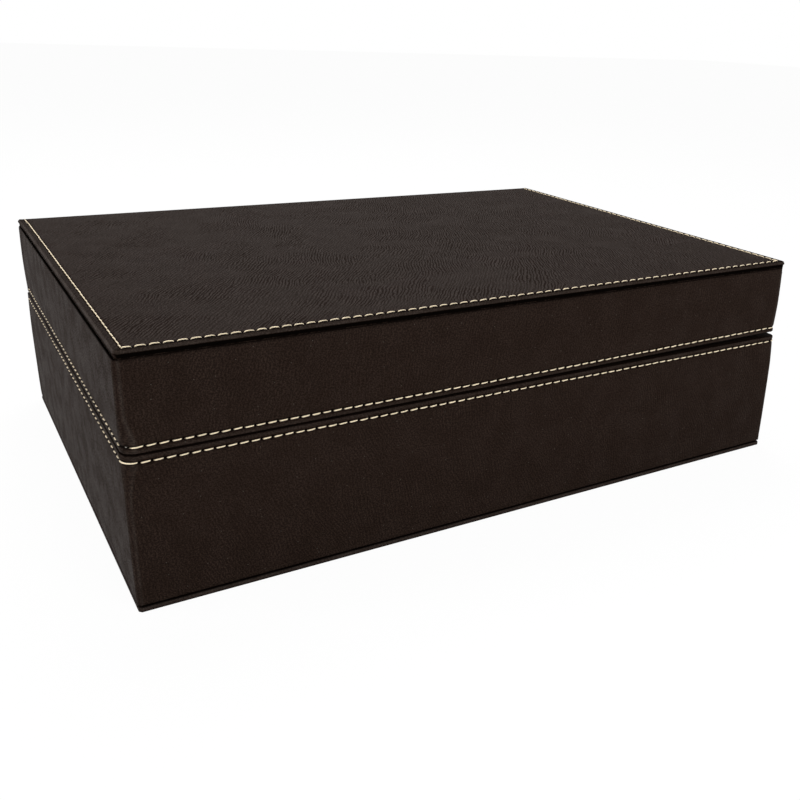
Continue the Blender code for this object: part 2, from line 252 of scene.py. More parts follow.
class RoundOutline:
    """A rectangle with round corners, seen from above, walked anticlockwise.

    The walk starts at the middle of the front left corner. Each of its four runs
    goes from the middle of one corner to the middle of the next.
    """

    def __init__(self, half_x, front, back, radius):
        self.half_x = half_x
        self.half_y = (back - front) / 2
        self.middle_y = (back + front) / 2
        self.radius = radius
        quarter = math.pi * radius / 2
        self.half_arc = quarter / 2
        self.runs = [2 * (half - radius) + quarter for half in (half_x, self.half_y) * 2]
        self.starts = np.concatenate(([0], np.cumsum(self.runs)))

    def frame_at(self, along):
        """For places along the walk: the corner centre as shares, and the outward normal.

        On a run with outward normal b and direction t, the centre is b + t * share,
        and the normal turns from b by up to 45 degrees over the half arc at each end.
        """
        along = np.mod(along, self.starts[-1])
        run = np.clip(np.searchsorted(self.starts, along, side="right") - 1, 0, 3)
        local = along - self.starts[run]
        length = np.asarray(self.runs)[run]
        before = np.clip(local / self.half_arc, 0, 1) - 1
        after = np.clip((local - length + self.half_arc) / self.half_arc, 0, 1)
        base = np.radians(-90 + 90 * run)
        turn = base + np.radians(45) * (before + after)
        share = 2 * np.clip((local - self.half_arc) / (length - 2 * self.half_arc), 0, 1) - 1
        centre_x = np.round(np.cos(base)) - np.round(np.sin(base)) * share
        centre_y = np.round(np.sin(base)) + np.round(np.cos(base)) * share
        return centre_x, centre_y, np.cos(turn), np.sin(turn)

    def place(self, along, inset, corner=None):
        """X and Y of the outline drawn further in by inset; the corner radius shrinks with it."""
        centre_x, centre_y, normal_x, normal_y = self.frame_at(along)
        corner = self.radius if corner is None else corner
        radius = np.maximum(corner - inset, TIGHT_CORNER)
        radius = np.minimum(radius, self.half_y - np.minimum(inset, self.half_y))
        x = centre_x * (self.half_x - inset - radius) + normal_x * radius
        y = centre_y * (self.half_y - inset - radius) + normal_y * radius + self.middle_y
        return x, y


def relief(u, v, seed, height=0.05 * MM, longest=70 * MM, shortest=14 * MM):
    """A gentle unevenness: a sum of twelve cosine waves with seeded directions and lengths."""
    chance = np.random.default_rng(seed)
    total = np.zeros(np.broadcast(u, v).shape)
    for _ in range(12):
        angle = chance.uniform(0, 2 * math.pi)
        wave = 2 * math.pi / chance.uniform(shortest, longest)
        phase = chance.uniform(0, 2 * math.pi)
        total += np.cos(wave * (u * math.cos(angle) + v * math.sin(angle)) + phase)
    return total * height / math.sqrt(12)


def ribs(along, seed, height=0.06 * MM, pitch=2.6 * MM):
    """Small uneven gathers along an edge: two waves near the pitch, swelled by a slow third."""
    chance = np.random.default_rng(seed)
    first, second, third = chance.uniform(0, 2 * math.pi, 3)
    wave = 2 * math.pi / pitch
    swell = 0.5 + 0.5 * np.cos(wave * along / 9.3 + third)
    return height * swell * (np.cos(wave * along + first) + np.cos(wave * along * 0.73 + second)) / 2


class Patchwork:
    """Collects grids of points and joins them into one mesh."""

    def __init__(self):
        self.points = []
        self.corners = []
        self.maps = []
        self.marks = {}
        self.count = 0

    def add(self, points, sheet_map, marks=None, around=False, keep=None):
        """Add grids of rows by columns; around closes them column-wise, keep masks the faces.

        A closed grid's map may have one column more, where it meets itself.
        """
        points = points.reshape(-1, *points.shape[-3:])
        many, rows, columns = points.shape[:3]
        map_width = sheet_map.shape[-2]
        flat_map = sheet_map.reshape(-1, 2)
        wide = columns if around else columns - 1
        item, row, column = np.ogrid[:many, : rows - 1, :wide]
        corners = []
        maps = []
        for down, across in ((0, 0), (0, 1), (1, 1), (1, 0)):
            line = item * rows + row + down
            corners.append(line * columns + (column + across) % columns)
            maps.append(flat_map[line * map_width + (column + across) % map_width])
        corners = np.stack(corners, axis=-1)
        maps = np.stack(maps, axis=-2)
        if keep is not None:
            corners = corners[:, :, keep]
            maps = maps[:, :, keep]
        self.points.append(points.reshape(-1, 3))
        self.corners.append(corners.reshape(-1, 4) + self.count)
        self.maps.append(maps.reshape(-1, 2))
        for name in sorted(set(self.marks) | set(marks or {})):
            values = (marks or {}).get(name, 0)
            filled = np.broadcast_to(values, points.shape[:3]).reshape(-1)
            self.marks.setdefault(name, [np.zeros(self.count)]).append(filled)
        self.count += many * rows * columns

    def build(self, name, join=1e-6):
        """Make the object: points nearer than join become one, and the faces point outwards."""
        points = np.concatenate(self.points)
        corners = np.concatenate(self.corners)
        mesh = bpy.data.meshes.new(name)
        mesh.vertices.add(len(points))
        mesh.vertices.foreach_set("co", points.astype(np.float32).ravel())
        mesh.loops.add(corners.size)
        mesh.loops.foreach_set("vertex_index", corners.astype(np.int32).ravel())
        mesh.polygons.add(len(corners))
        mesh.polygons.foreach_set("loop_start", np.arange(0, corners.size, 4, dtype=np.int32))
        mesh.uv_layers.new(name=SHEET_MAP)
        mesh.uv_layers[SHEET_MAP].data.foreach_set(
            "uv", np.concatenate(self.maps).astype(np.float32).ravel()
        )
        for mark, values in self.marks.items():
            layer = mesh.attributes.new(mark, "FLOAT", "POINT")
            layer.data.foreach_set("value", np.concatenate(values).astype(np.float32))
        mesh.update(calc_edges=True)
        data = bmesh.new()
        data.from_mesh(mesh)
        bmesh.ops.remove_doubles(data, verts=data.verts, dist=join)
        if data.calc_volume(signed=True) < 0:
            bmesh.ops.reverse_faces(data, faces=data.faces)
        data.to_mesh(mesh)
        data.free()
        mesh.shade_smooth()
        piece = bpy.data.objects.new(name, mesh)
        bpy.context.scene.collection.objects.link(piece)
        return piece


def finish_piece(piece, body, slot, material, *nodes):
    """Give a piece its material and its body, and hide the nodes that it stands for; slot is not used."""
    piece.data.materials.clear()
    piece.data.materials.append(material)
    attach(piece, body)
    if nodes:
        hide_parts(*nodes)
    return piece


class StitchRow:
    """Where the needle went in along one row.

    spans are (start, end, count) stretches of the row. The phase counts stitches
    from the row's start, and the needle goes in wherever it is a whole number.
    """

    def __init__(self, spans, shift=0.0):
        self.marks = np.array([spans[0][0]] + [span[1] for span in spans])
        self.counts = np.concatenate(([0], np.cumsum([span[2] for span in spans])))
        self.shift = shift

    def phase(self, along):
        return np.interp(along, self.marks, self.counts) + self.shift

    def along(self, phase):
        return np.interp(phase - self.shift, self.counts, self.marks)

    def hole_distance(self, along):
        """Distance along the row to the nearest needle hole."""
        return along - self.along(np.round(self.phase(along)))

    def columns(self, per_stitch=6, squeeze=0.5):
        """Places per_stitch to a stitch, drawn together towards the holes by a sine."""
        steps = np.arange(self.counts[0] * per_stitch, self.counts[-1] * per_stitch + 1)
        phase = steps / per_stitch
        shifted = phase + self.shift
        phase = phase - squeeze * np.sin(2 * math.pi * shifted) / (2 * math.pi)
        return np.interp(np.clip(phase, self.counts[0], self.counts[-1]), self.counts, self.marks)


def stitch_press(row, along, across):
    """Depth of the leather at a row: a shallow trough, and a pit at each needle hole."""
    trough = TROUGH * bell(across, TROUGH_WIDTH)
    pit = 0.42 * MM * bell(across, PIT_WIDTH) * bell(row.hole_distance(along), HOLE_LENGTH)
    return trough + pit


def stitch_shade(row, along, across):
    """How dark the leather is painted at a row: painted shade along both sides of the thread, most at the
    holes.
    """
    line = 0.9 * bell(across, 0.62 * MM)
    hole = bell(across, 0.85 * MM) * bell(row.hole_distance(along), 0.6 * MM)
    return np.maximum(line, hole)


def add_stitches(name, groups, radius, seed):
    """One mesh of separate stitches from groups of (centres, outward, tone).

    centres and outward have the shape stitches x rings x 3. Each ring is the
    circle centre + r (cos a * lift + sin a * side), with side = outward x
    direction, lift = direction x side, and r swells from a point as the square
    root of 1 - t^6, so every stitch is a closed, blunt-ended tube.
    """
    chance = np.random.default_rng(seed)
    centres, outward = (np.concatenate([group[index] for group in groups]) for index in (0, 1))
    tone = np.concatenate([group[2] for group in groups])
    stitches, rings = centres.shape[:2]
    direction = np.gradient(centres, axis=1)
    direction /= np.linalg.norm(direction, axis=2, keepdims=True)
    side = np.cross(outward, direction)
    side /= np.linalg.norm(side, axis=2, keepdims=True)
    lift = np.cross(direction, side)
    share = np.linspace(-1, 1, rings)
    swell = np.sqrt(np.clip(1 - np.abs(share) ** 6, 0, 1)) * (1 - 0.12 * share)
    size = radius * chance.uniform(0.92, 1.08, stitches)[:, None] * swell
    turn = np.linspace(0, 2 * math.pi, STITCH_SIDES + 1)[:-1]
    circle = np.cos(turn)[:, None] * lift[:, :, None] + np.sin(turn)[:, None] * side[:, :, None]
    points = centres[:, :, None] + size[:, :, None, None] * circle
    length = np.linalg.norm(centres[:, -1] - centres[:, 0], axis=1)
    u = (share + 1) / 2 * length[:, None] + 0.01 * np.arange(stitches)[:, None]
    sheet_map = joined(u[:, :, None], np.linspace(0, 1, STITCH_SIDES + 1))
    work = Patchwork()
    work.add(points, sheet_map, {"stitch_tone": tone[:, None, None]}, around=True)
    return work.build(name, join=0.004 * MM)


def stitch_path(row, first, last, place, slant, seed, fills=(0.60, 0.84), rise=0.20 * MM, rings=9):
    """Centre lines of the stitches numbered first to last of a row.

    A stitch fills a share of its pitch, less at the sides than at the front. Its
    height over the leather follows rise * (1 - t^4) less a small depth, so its
    ends dive into the holes. It crosses the row as slant * (t + t^3) / 2.
    place(along, across, height) gives points and normals.
    """
    chance = np.random.default_rng(seed)
    number = np.arange(first, last)
    in_front = (number >= row.counts[1]) & (number < row.counts[2])
    share = np.linspace(-1, 1, rings)
    length = np.where(in_front, fills[1], fills[0]) * chance.uniform(0.95, 1.03, len(number))
    phase = number[:, None] + 0.5 - row.shift % 1 + share[None, :] * length[:, None] / 2
    sway = slant * chance.uniform(0.6, 1.4, len(number))[:, None]
    across = sway * (share + share**3)[None, :] / 2 + chance.normal(0, 0.04 * MM, len(number))[:, None]
    height = rise * (1 - share**4) - 0.22 * MM * share**6
    along = np.interp(phase, row.counts, row.marks)
    points, normals = place(along, across, np.broadcast_to(height, along.shape))
    # Random tone from stitch to stitch, with the side rows darker as painted shade
    tone = chance.uniform(0, 1, len(number)) - np.where(in_front, 0, 0.6)
    return points, normals, tone


class Tray:
    """The wrapped walls of the base (up is 1) or of the lid (up is -1).

    Heights given to its functions are those of the plain wall. lifted() adds
    the rise of the lid's rim afterwards.
    """

    def __init__(self, low, high, up, sizes):
        self.up = up
        self.foot = low.z - BASE_REACH if up > 0 else high.z + LID_REACH
        self.rim = (high.z if up > 0 else low.z) + up * RIM_REACH
        self.outline = RoundOutline(high.x, low.y, high.y, WALL_CORNER)
        self.sizes = sizes
        self.row_height = SEAM - up * sizes.rim_row
        starts = self.outline.starts
        spans = [
            (starts[3] - starts[4], 0, sizes.side_stitches),
            (0, starts[1], sizes.front_stitches),
            (starts[1], starts[2], sizes.side_stitches),
        ]
        self.row = StitchRow(spans, shift=0.0 if up < 0 else 0.5)

    def lifted(self, along, height):
        """The height with the seam opened towards the front right corner.

        The lid's rim and row rise together over the right half of the front, and
        its edge rises a little more from the left on. The base's rim sinks by a
        quarter of that. Both fade along the right side and away from the rim.
        """
        starts = self.outline.starts
        share = np.clip(along / starts[1], 0, 1)
        side = 1 - smooth_step(along, starts[1], starts[2])
        below = self.up * (self.rim - height)
        whole = smooth_step(share, 0.45, 1.0) * (1 - smooth_step(below, 5 * MM, 32 * MM))
        edge = smooth_step(share, 0.1, 0.5) * (1 - smooth_step(below, 0.3 * MM, 2.2 * MM))
        rise = 0.77 * whole + 0.23 * edge if self.up < 0 else -0.27 * whole
        return height + rise * self.sizes.rim_rise * side

    def corner(self, along, height):
        """Corner radius: larger where the leather is turned in at the rim, most at the front left."""
        share = 1 - smooth_step(self.up * (self.rim - height), 2 * MM, 16 * MM)
        away = np.minimum(np.abs(along), np.abs(along - self.outline.starts[4]))
        left = 1 - smooth_step(away, 15 * MM, 110 * MM)
        at_rim = RIM_CORNER + (LEFT_RIM_CORNER - RIM_CORNER) * left
        return WALL_CORNER + (at_rim - WALL_CORNER) * share

    def corner_distance(self, along):
        """Distance along the walk to the nearest corner's middle."""
        corners = np.append(self.outline.starts, self.outline.starts[3] - self.outline.starts[4])
        return np.abs(along[..., None] - corners).min(axis=-1)

    def sewn(self, along):
        """1 where the rim is sewn, 0 along the back."""
        starts = self.outline.starts
        before = smooth_step(along, starts[3] - starts[4], starts[3] - starts[4] + 6 * MM)
        return before * (1 - smooth_step(along, starts[2] - 6 * MM, starts[2]))

    def push(self, along, height):
        """How far the outside stands out from the plain wall.

        A crown across the height, two soft ridges beside each corner, the puffed
        rim, the trough and pits of the stitches, gathers under the panel's
        corners, and a gentle unevenness.
        """
        share = np.clip((height - self.foot) / (self.rim - self.foot), 0, 1)
        crown = self.sizes.crown * np.sin(math.pi * share) ** 0.8
        near = self.corner_distance(along)
        wobble = 0.04 * MM * np.sin(height / (5.3 * MM)) + 0.03 * MM * np.sin(height / (2.1 * MM) + 1)
        ridge = 0.10 * MM * bell(near - 1.5 * MM + wobble, 0.45 * MM)
        ridge = ridge - 0.10 * MM * bell(near + wobble, 0.6 * MM)
        across = self.up * (height - self.row_height)
        puff = 0.10 * MM * bell(across - 1.4 * MM, 0.8 * MM)
        press = stitch_press(self.row, along, across)
        uneven = relief(along, height, 11 if self.up > 0 else 17)
        from_foot = np.abs(height - self.foot)
        gather = ribs(along, 5, 0.04 * MM, 3.4 * MM) * bell(from_foot, 3.5 * MM)
        pleat = ribs(along + 0.5 * height, 9, 0.16 * MM, 1.9 * MM)
        pleat = pleat * bell(near - 2 * MM, 4 * MM) * bell(from_foot, 4.0 * MM)
        fade = smooth_step(share, 0.0, 0.03)
        return (crown + ridge + uneven + gather + pleat) * fade + (puff - press) * self.sewn(along)

    def section(self):
        """Rows of the closed section: inset and height, sheet distance, and share outside."""
        up = self.up
        wall_start = self.foot + up * FOOT_ROLL
        row_low = self.row_height - up * 1.8 * MM
        roll_start = self.rim - up * RIM_ROLL
        foot = arc((FOOT_ROLL, 0), FOOT_ROLL, 270, 180, 4)
        foot[:, 1] = wall_start + up * foot[:, 1]
        wall = wall_start + (row_low - wall_start) * np.array(
            (0.015, 0.035, 0.06, 0.09, 0.13, 0.18, 0.24, 0.31, 0.39, 0.48, 0.57, 0.66, 0.74, 0.82, 0.90, 1)
        )
        fine = np.linspace(row_low, roll_start, 17)[1:]
        flat = np.concatenate((wall, fine))
        wall_rows = joined(0.0, flat)
        roll_out = arc((RIM_ROLL, 0), RIM_ROLL, 180, 90, 5)[1:]
        roll_in = arc((WALL_THICKNESS - RIM_ROLL, 0), RIM_ROLL, 90, 0, 5)
        rolls = np.concatenate((roll_out, roll_in))
        rolls[:, 1] = roll_start + up * rolls[:, 1]
        flap = np.linspace(roll_start, self.rim - up * TURN_IN, 5)[1:]
        flap_rows = joined(WALL_THICKNESS, flap)
        inner = WALL_THICKNESS - SHEET_THICKNESS
        below_rim = self.rim - up * SHEET_THICKNESS
        hidden = np.array(
            [
                (inner, flap[-1]),
                (inner, below_rim),
                (SHEET_THICKNESS, below_rim),
                (SHEET_THICKNESS, self.foot + up * 0.6 * MM),
                (0.8 * SHEET_THICKNESS, self.foot),
                (FOOT_ROLL, self.foot),
            ]
        )
        rows = np.concatenate((foot, wall_rows, rolls, flap_rows, hidden))
        steps = np.linalg.norm(np.diff(rows, axis=0), axis=1)
        sheet = np.concatenate(([0], np.cumsum(steps)))
        face = len(foot) + len(wall_rows)
        outside = np.zeros(len(rows))
        outside[:face] = 1
        outside[face : face + 5] = np.linspace(0.9, 0.1, 5)
        return rows, sheet, outside

    def columns(self):
        """Places along the walk: close at the stitches, sparse along the hidden back."""
        starts = self.outline.starts
        back = spread(starts[3] - starts[2], 8 * MM, 0.6 * MM, (0, starts[3] - starts[2]), 3 * MM)
        return np.concatenate((self.row.columns(), starts[2] + back[1:-1]))

    def marks(self, along, height, outside):
        """Painted shade in the troughs and holes, in the crevice at the foot and at the seam; painted
        highlights along the rim and beside the corners.
        """
        across = self.up * (height - self.row_height)
        _, _, normal_x, _ = self.outline.frame_at(along)
        # Painted shade in the crevice at the foot; under the lid's panel it stands for the overhang's cast
        # shadow
        reach = 0.28 * MM + (0.0 if self.up > 0 else 0.35 * MM) * (1 - normal_x**2)
        crevice_shade = 0.9 * bell(self.up * (height - self.foot), reach)
        dark = np.maximum(stitch_shade(self.row, along, across) * self.sewn(along) * outside, crevice_shade)
        rim = self.up * (self.rim - height)
        # Painted shade at the rim, where the seam between lid and base lies in shade
        side = 0.95 - 0.35 * smooth_step(-along, 2 * MM, 20 * MM)
        inward = 0.45 + 0.5 * np.clip(outside / 0.3, 0, 1)
        dark = np.maximum(dark, side * bell(rim, 0.22 * MM) * inward)
        # Painted highlights: thin lines beside the corners and a band along the rim's roll
        near = self.corner_distance(along)
        ridge = bell(near - 0.95 * MM, 0.3 * MM) * outside
        rubbed = 0.25 * bell(rim - 0.9 * MM, 0.5 * MM) * outside
        ridge = ridge * (0.45 if self.up > 0 else 0.95)
        return {"dark": dark, "rubbed": np.maximum(ridge, rubbed)}

    def build(self, name):
        """The wrap: the closed section carried round the outline."""
        rows, sheet, outside = self.section()
        walk = self.columns()
        inset, height, outside, along = np.broadcast_arrays(
            rows[:, 0][:, None], rows[:, 1][:, None], outside[:, None], walk[None, :]
        )
        push = self.push(along, height) * outside
        x, y = self.outline.place(along, inset - push, self.corner(along, height))
        points = joined(x, y, self.lifted(along, height))
        closing = np.append(walk, walk[0] + self.outline.starts[4])
        work = Patchwork()
        marks = self.marks(along, height, outside)
        work.add(points, joined(closing, sheet[:, None]), marks, around=True)
        return work.build(name)

    def stitch_place(self, along, across, height):
        """Points and normals of the rim row, off the leather without its trough."""
        level = self.row_height + across
        base = self.push(along, level) + stitch_press(self.row, along, self.up * across)
        x, y = self.outline.place(along, TROUGH - base - height, self.corner(along, level))
        _, _, normal_x, normal_y = self.outline.frame_at(along)
        return joined(x, y, self.lifted(along, level)), joined(normal_x, normal_y, 0.0)


class Cover:
    """The cover over one panel, with its turned-down edge and the sheet on the back.

    face is the height of the flat face and way is +1 or -1, from that face
    towards the inside of the box. sheet_end is where the back sheet stops.
    """

    def __init__(self, half_x, front, corner, face, way, sheet_end, sizes, sewn):
        self.outline = RoundOutline(half_x, front, BACK, corner)
        self.edge = LID_EDGE if sewn else FOOT_EDGE
        self.roll = LID_ROLL if sewn else FOOT_OUTER_ROLL
        self.step = LID_STEP if sewn else FRONT_STEP
        self.face = face
        self.way = way
        self.sheet_end = sheet_end
        self.sizes = sizes
        self.sewn = sewn
        self.row_x = PANEL_HIGH.x - SIDE_TRIM - sizes.panel_row
        starts = self.outline.starts
        if sewn:
            spans = [
                (starts[3] - starts[4], 0, sizes.panel_side_stitches),
                (0, starts[1], sizes.panel_front_stitches),
                (starts[1], starts[2], sizes.panel_side_stitches),
            ]
            self.row = StitchRow(spans)
        self.pitch = (PANEL_HIGH.y - PANEL_LOW.y) / sizes.panel_side_stitches

    def columns(self):
        """Places along the walk: close at the stitches, or at the corners and the back's rows."""
        starts = self.outline.starts
        if self.sewn:
            sewn = self.row.columns()
            front = sewn[(sewn >= 0) & (sewn <= starts[1])]
            side = sewn[(sewn >= starts[1]) & (sewn <= starts[2])] - starts[1]
            parts = (front[:-1], starts[1] + side[:-1], starts[2] + front[:-1], starts[3] + side[:-1])
            return np.concatenate(parts)
        rows = [self.outline.half_x + side * self.row_x for side in (-1, 1)]
        front = spread(starts[1], 9 * MM, 0.5 * MM, (0, *rows, starts[1]), 2.5 * MM)
        side = spread(self.outline.runs[1], 7 * MM, 0.5 * MM, (0, self.outline.runs[1]), 2.5 * MM)
        return closed_walk(self.outline, front, side)

    def section(self):
        """Rows from the inside of the edge round it and over the face to the middle.

        Each row is (inset, depth below the face); the sheet distance is measured
        from the end of the edge's roll, and is negative round the edge.
        """
        turned = arc((EDGE_TURN, EDGE_TURN - self.edge), EDGE_TURN, 250, 180, 4)
        depths = (-PANEL_THICKNESS, -2.6 * MM, -2.2 * MM, -1.85 * MM, -self.edge - 0.02 * MM)
        under = np.concatenate((joined(self.step, depths), turned))
        over = arc((self.roll, -self.roll), self.roll, 180, 90, 7)
        row = self.sizes.panel_row
        near = np.linspace(self.roll, row + 2.2 * MM, 22 if self.sewn else 6)[1:]
        shares = np.array((0.012, 0.035, 0.07, 0.12, 0.19, 0.28, 0.38, 0.5, 0.63, 0.76, 0.89, 1.0))
        far = near[-1] + (self.outline.half_y - near[-1]) * shares
        flat = np.concatenate((near, far))
        rows = np.concatenate((under, over, joined(flat, 0.0)))
        steps = np.concatenate(([0], np.cumsum(np.linalg.norm(np.diff(rows, axis=0), axis=1))))
        sheet = steps - steps[len(under) + len(over) - 1] + self.roll
        return rows, sheet, len(under)

    def lift(self, along, inset, x, y):
        """How far the face stands above the plain panel.

        A puffed band between the edge and the row, small gathers in it, the
        stitches' trough and pits, a gentle unevenness, and nothing on the back edge.
        """
        if not self.sewn:
            return np.minimum(relief(x, y, 29, 0.03 * MM), 0) * smooth_step(inset, 2 * MM, 14 * MM)
        across = inset - self.sizes.panel_row
        starts = self.outline.starts
        reach = self.sizes.panel_row
        seam = smooth_step(along, starts[2], starts[2] + 0.5 * reach)
        seam = 1 - seam * (1 - smooth_step(along, starts[3] - 0.5 * reach, starts[3]))
        puff = 0.16 * MM * bell(across + 2.4 * MM, 1.2 * MM)
        gather = ribs(along, 3, 0.08 * MM, 1.9 * MM) * bell(across + 1.9 * MM, 1.2 * MM)
        press = stitch_press(self.row, self.sewn_place(along), across)
        swell = 0.10 * MM * smooth_step(across, 0.5 * MM, 9 * MM)
        uneven = relief(x, y, 23, 0.05 * MM) * smooth_step(inset, 2 * MM, 14 * MM)
        return (puff + gather - press) * seam + swell + uneven

    def shift(self, y):
        """The lid's panel sits a little to the right of its walls, but not at the back."""
        return PANEL_SHIFT * smooth_step(BACK - y, 0, 20 * MM) if self.sewn else 0 * y

    def sewn_place(self, along):
        """The walk's places from the back left corner on, so that the row is one stretch."""
        starts = self.outline.starts
        return np.where(along > starts[3] - 1e-9, along - starts[4], along)

    def back_share(self, along):
        """1 on the back edge where the sheet hangs, 0 elsewhere."""
        x, y = self.outline.place(along, 0.0)
        return (np.abs(x) < SHEET_HALF) & (np.abs(y - BACK) < 0.2 * MM)

    def build(self, name):
        """The closed shell: inner face, edge, outer face and the sheet on the back."""
        rows, sheet, under = self.section()
        along = self.columns()
        hangs = self.back_share(along)
        inset = np.broadcast_to(rows[:, 0][:, None], (len(rows), len(along))).copy()
        depth = np.broadcast_to(rows[:, 1][:, None], inset.shape)
        inset[:under] = np.where(hangs[None, :], 0, inset[:under])
        wide = np.broadcast_to(along[None, :], inset.shape)
        x, y = self.outline.place(wide, inset)
        on_face = smooth_step(np.arange(len(rows))[:, None] * 1.0, under + 1.0, under + 7.0)
        lift = self.lift(wide, inset, x, y) * on_face
        lift[-1] = 0
        corner_distance = np.abs(wide[..., None] - self.outline.starts).min(axis=-1)
        on_edge = np.exp(-(((inset - 0.2 * MM) / (1.3 * MM)) ** 2)) * (inset < 3 * MM)
        pinch = 0.30 * MM * bell(corner_distance, 0.55 * MM) * on_edge
        x, y = self.outline.place(wide, inset + pinch)
        z = self.face + self.way * (-depth - lift)
        outer = joined(x, y, z)
        sheet_map = joined(*self.outline.place(wide, np.broadcast_to(sheet[:, None], wide.shape)))
        inner = self.inner_rows(along)
        inner_map = inner[..., :2].copy()
        for shell in (outer, inner):
            shell[..., 0] += self.shift(shell[..., 1])
        work = Patchwork()
        work.add(outer, sheet_map, self.marks(wide, inset, depth, hangs), around=True)
        work.add(inner, inner_map, around=True)
        flange = np.stack((inner[-1], outer[0]))
        flange_map = np.stack((inner_map[-1], sheet_map[0]))
        work.add(flange, flange_map, around=True, keep=~(hangs & np.roll(hangs, -1)))
        self.add_back_sheet(work, outer[0][hangs])
        return work.build(name)

    def marks(self, along, inset, depth, hangs):
        """Painted shade in the crevice under the edge, in the troughs and holes, beside the row and on the
        side bands; a painted highlight along the edge's roll.
        """
        # Painted shade under the edge's roll, standing for the cast shadow of the panel's overhang
        crevice_shade = smooth_step(-depth, self.edge - 0.75 * MM, self.edge - 0.1 * MM)
        if not self.sewn:
            # On the base, painted shade in the crevice over the lip and a painted highlight on the lip
            crevice_shade = smooth_step(-depth, self.edge - 0.06 * MM, self.edge + 0.02 * MM)
            lip_highlight = smooth_step(-depth, 0.2 * MM, 0.8 * MM)
            return {"dark": 0.98 * crevice_shade * ~hangs, "rubbed": 0.6 * lip_highlight * ~hangs}
        _, _, normal_x, _ = self.outline.frame_at(along)
        end = 3.2 * MM - 1.5 * MM * normal_x**2
        crevice_shade = crevice_shade * (1 - smooth_step(-depth, end - 0.3 * MM, end)) * ~hangs
        starts = self.outline.starts
        across = inset - self.sizes.panel_row
        on_face = depth > -0.1 * MM
        shade = stitch_shade(self.row, self.sewn_place(along), across)
        # Painted shadow of the thread in a valley on the row's outer side, along the front and back
        shade = np.maximum(shade, 0.96 * bell(across + 1.7 * MM, 0.85 * MM) * (1 - normal_x**2))
        shade = shade * ~((along > starts[2] + 3 * MM) & (along < starts[3] - 3 * MM)) * on_face
        # Painted shade on the band between the row and the edge along the sides
        band = 0.22 * smooth_step(-across, 0.6 * MM, 1.2 * MM) * normal_x**2 * on_face
        crevice_shade = crevice_shade * (0.98 - 0.22 * normal_x**2)
        dark = np.maximum(np.maximum(crevice_shade, shade), band)
        # Painted highlight along the edge's roll: a thin line on the sides, a broader one at the front and
        # back
        line = bell(inset - 0.3 * MM, 0.42 * MM) * normal_x**2
        ridge = 0.5 * bell(inset - 0.1 * MM, 0.5 * MM) * (1 - normal_x**2)
        return {"dark": dark, "rubbed": np.maximum(line, ridge) * (depth > -0.9 * MM) * ~hangs}

    def inner_rows(self, along):
        """The inside of the shell: the face's middle, its edge, and down to the edge's end."""
        inner_face = self.face + self.way * SHEET_THICKNESS
        edge_end = self.face + self.way * PANEL_THICKNESS
        insets = (self.outline.half_y, SHEET_THICKNESS, SHEET_THICKNESS)
        heights = (inner_face, inner_face, edge_end)
        rows = zip(insets, heights)
        return np.stack([joined(*self.outline.place(along, inset), height) for inset, height in rows])

    def back_rows(self):
        """Heights down the back sheet, from the panel's edge to the sheet's end."""
        start = self.face + self.way * PANEL_THICKNESS
        length = abs(self.sheet_end - start)
        return start + np.sign(self.sheet_end - start) * np.linspace(0, length, int(length / (0.62 * MM)))

    def back_holes(self):
        """Heights of the needle holes in the back sheet, an even pitch from the edge."""
        start = self.face + self.way * (PANEL_THICKNESS + 0.6 * MM)
        end = self.sheet_end - math.copysign(0.8 * MM, self.sheet_end - start)
        count = max(round(abs(end - start) / self.pitch), 1)
        return np.linspace(start, end, count + 1)

    def back_press(self, x, z):
        """Trough and pits of the two rows on the back sheet."""
        holes = self.back_holes()
        across = np.abs(np.abs(x) - self.row_x)
        hole = np.abs(z[..., None] - holes).min(axis=-1)
        low, high = sorted((holes[0], holes[-1]))
        sewn = smooth_step(z, low - 1.5 * MM, low) * (1 - smooth_step(z, high, high + 1.5 * MM))
        trough = 0.20 * MM * bell(across, TROUGH_WIDTH) * sewn
        pit = bell(across, PIT_WIDTH) * bell(hole, HOLE_LENGTH)
        return trough + 0.35 * MM * pit, pit

    def add_back_sheet(self, work, edge):
        """The sheet that hangs from the edge: outer face, end, inner face and two side edges."""
        heights = self.back_rows()
        x, z = np.broadcast_arrays(edge[:, 0], heights[:, None])
        press, pit = self.back_press(x, z)
        ends = np.minimum(np.abs(z - heights[0]), np.abs(z - heights[-1]))
        calm = smooth_step(ends, 0, 4 * MM) * smooth_step(SHEET_HALF - np.abs(x), 0, 4 * MM)
        bulge = relief(x, z, 31, 0.05 * MM) * calm
        outer = joined(x, BACK - press * smooth_step(ends, 0, 0.6 * MM) + bulge, z)
        drop = np.abs(heights - heights[0])[:, None]
        # Painted shade in the troughs and needle holes of the back rows
        dark = np.maximum(pit, press / (0.22 * MM) * 0.85)
        work.add(outer, joined(x, BACK + SHEET_OVERHANG + drop), {"dark": dark})
        inside = BACK - SHEET_THICKNESS
        inner = joined(x[0], inside, heights[[0, -1], None])
        end = np.stack((outer[-1], inner[-1]))
        for patch in (inner, end):
            work.add(patch, patch[..., :2])
        for column in (0, -1):
            inner_side = joined(x[0, column], inside, heights)
            side = np.stack((outer[:, column], inner_side), axis=1)
            work.add(side, side[..., 1:])

    def stitch_place(self, along, across, height):
        """Points and normals of the row on the face; across is towards the middle."""
        inset = self.sizes.panel_row + across
        walk = np.mod(along, self.outline.starts[4])
        x, y = self.outline.place(walk, inset)
        lift = self.lift(walk, inset, x, y) + stitch_press(self.row, along, across)
        x = x + self.shift(y)
        z = self.face - self.way * (lift - TROUGH + height)
        return joined(x, y, z), joined(0 * x, 0.0, -self.way)

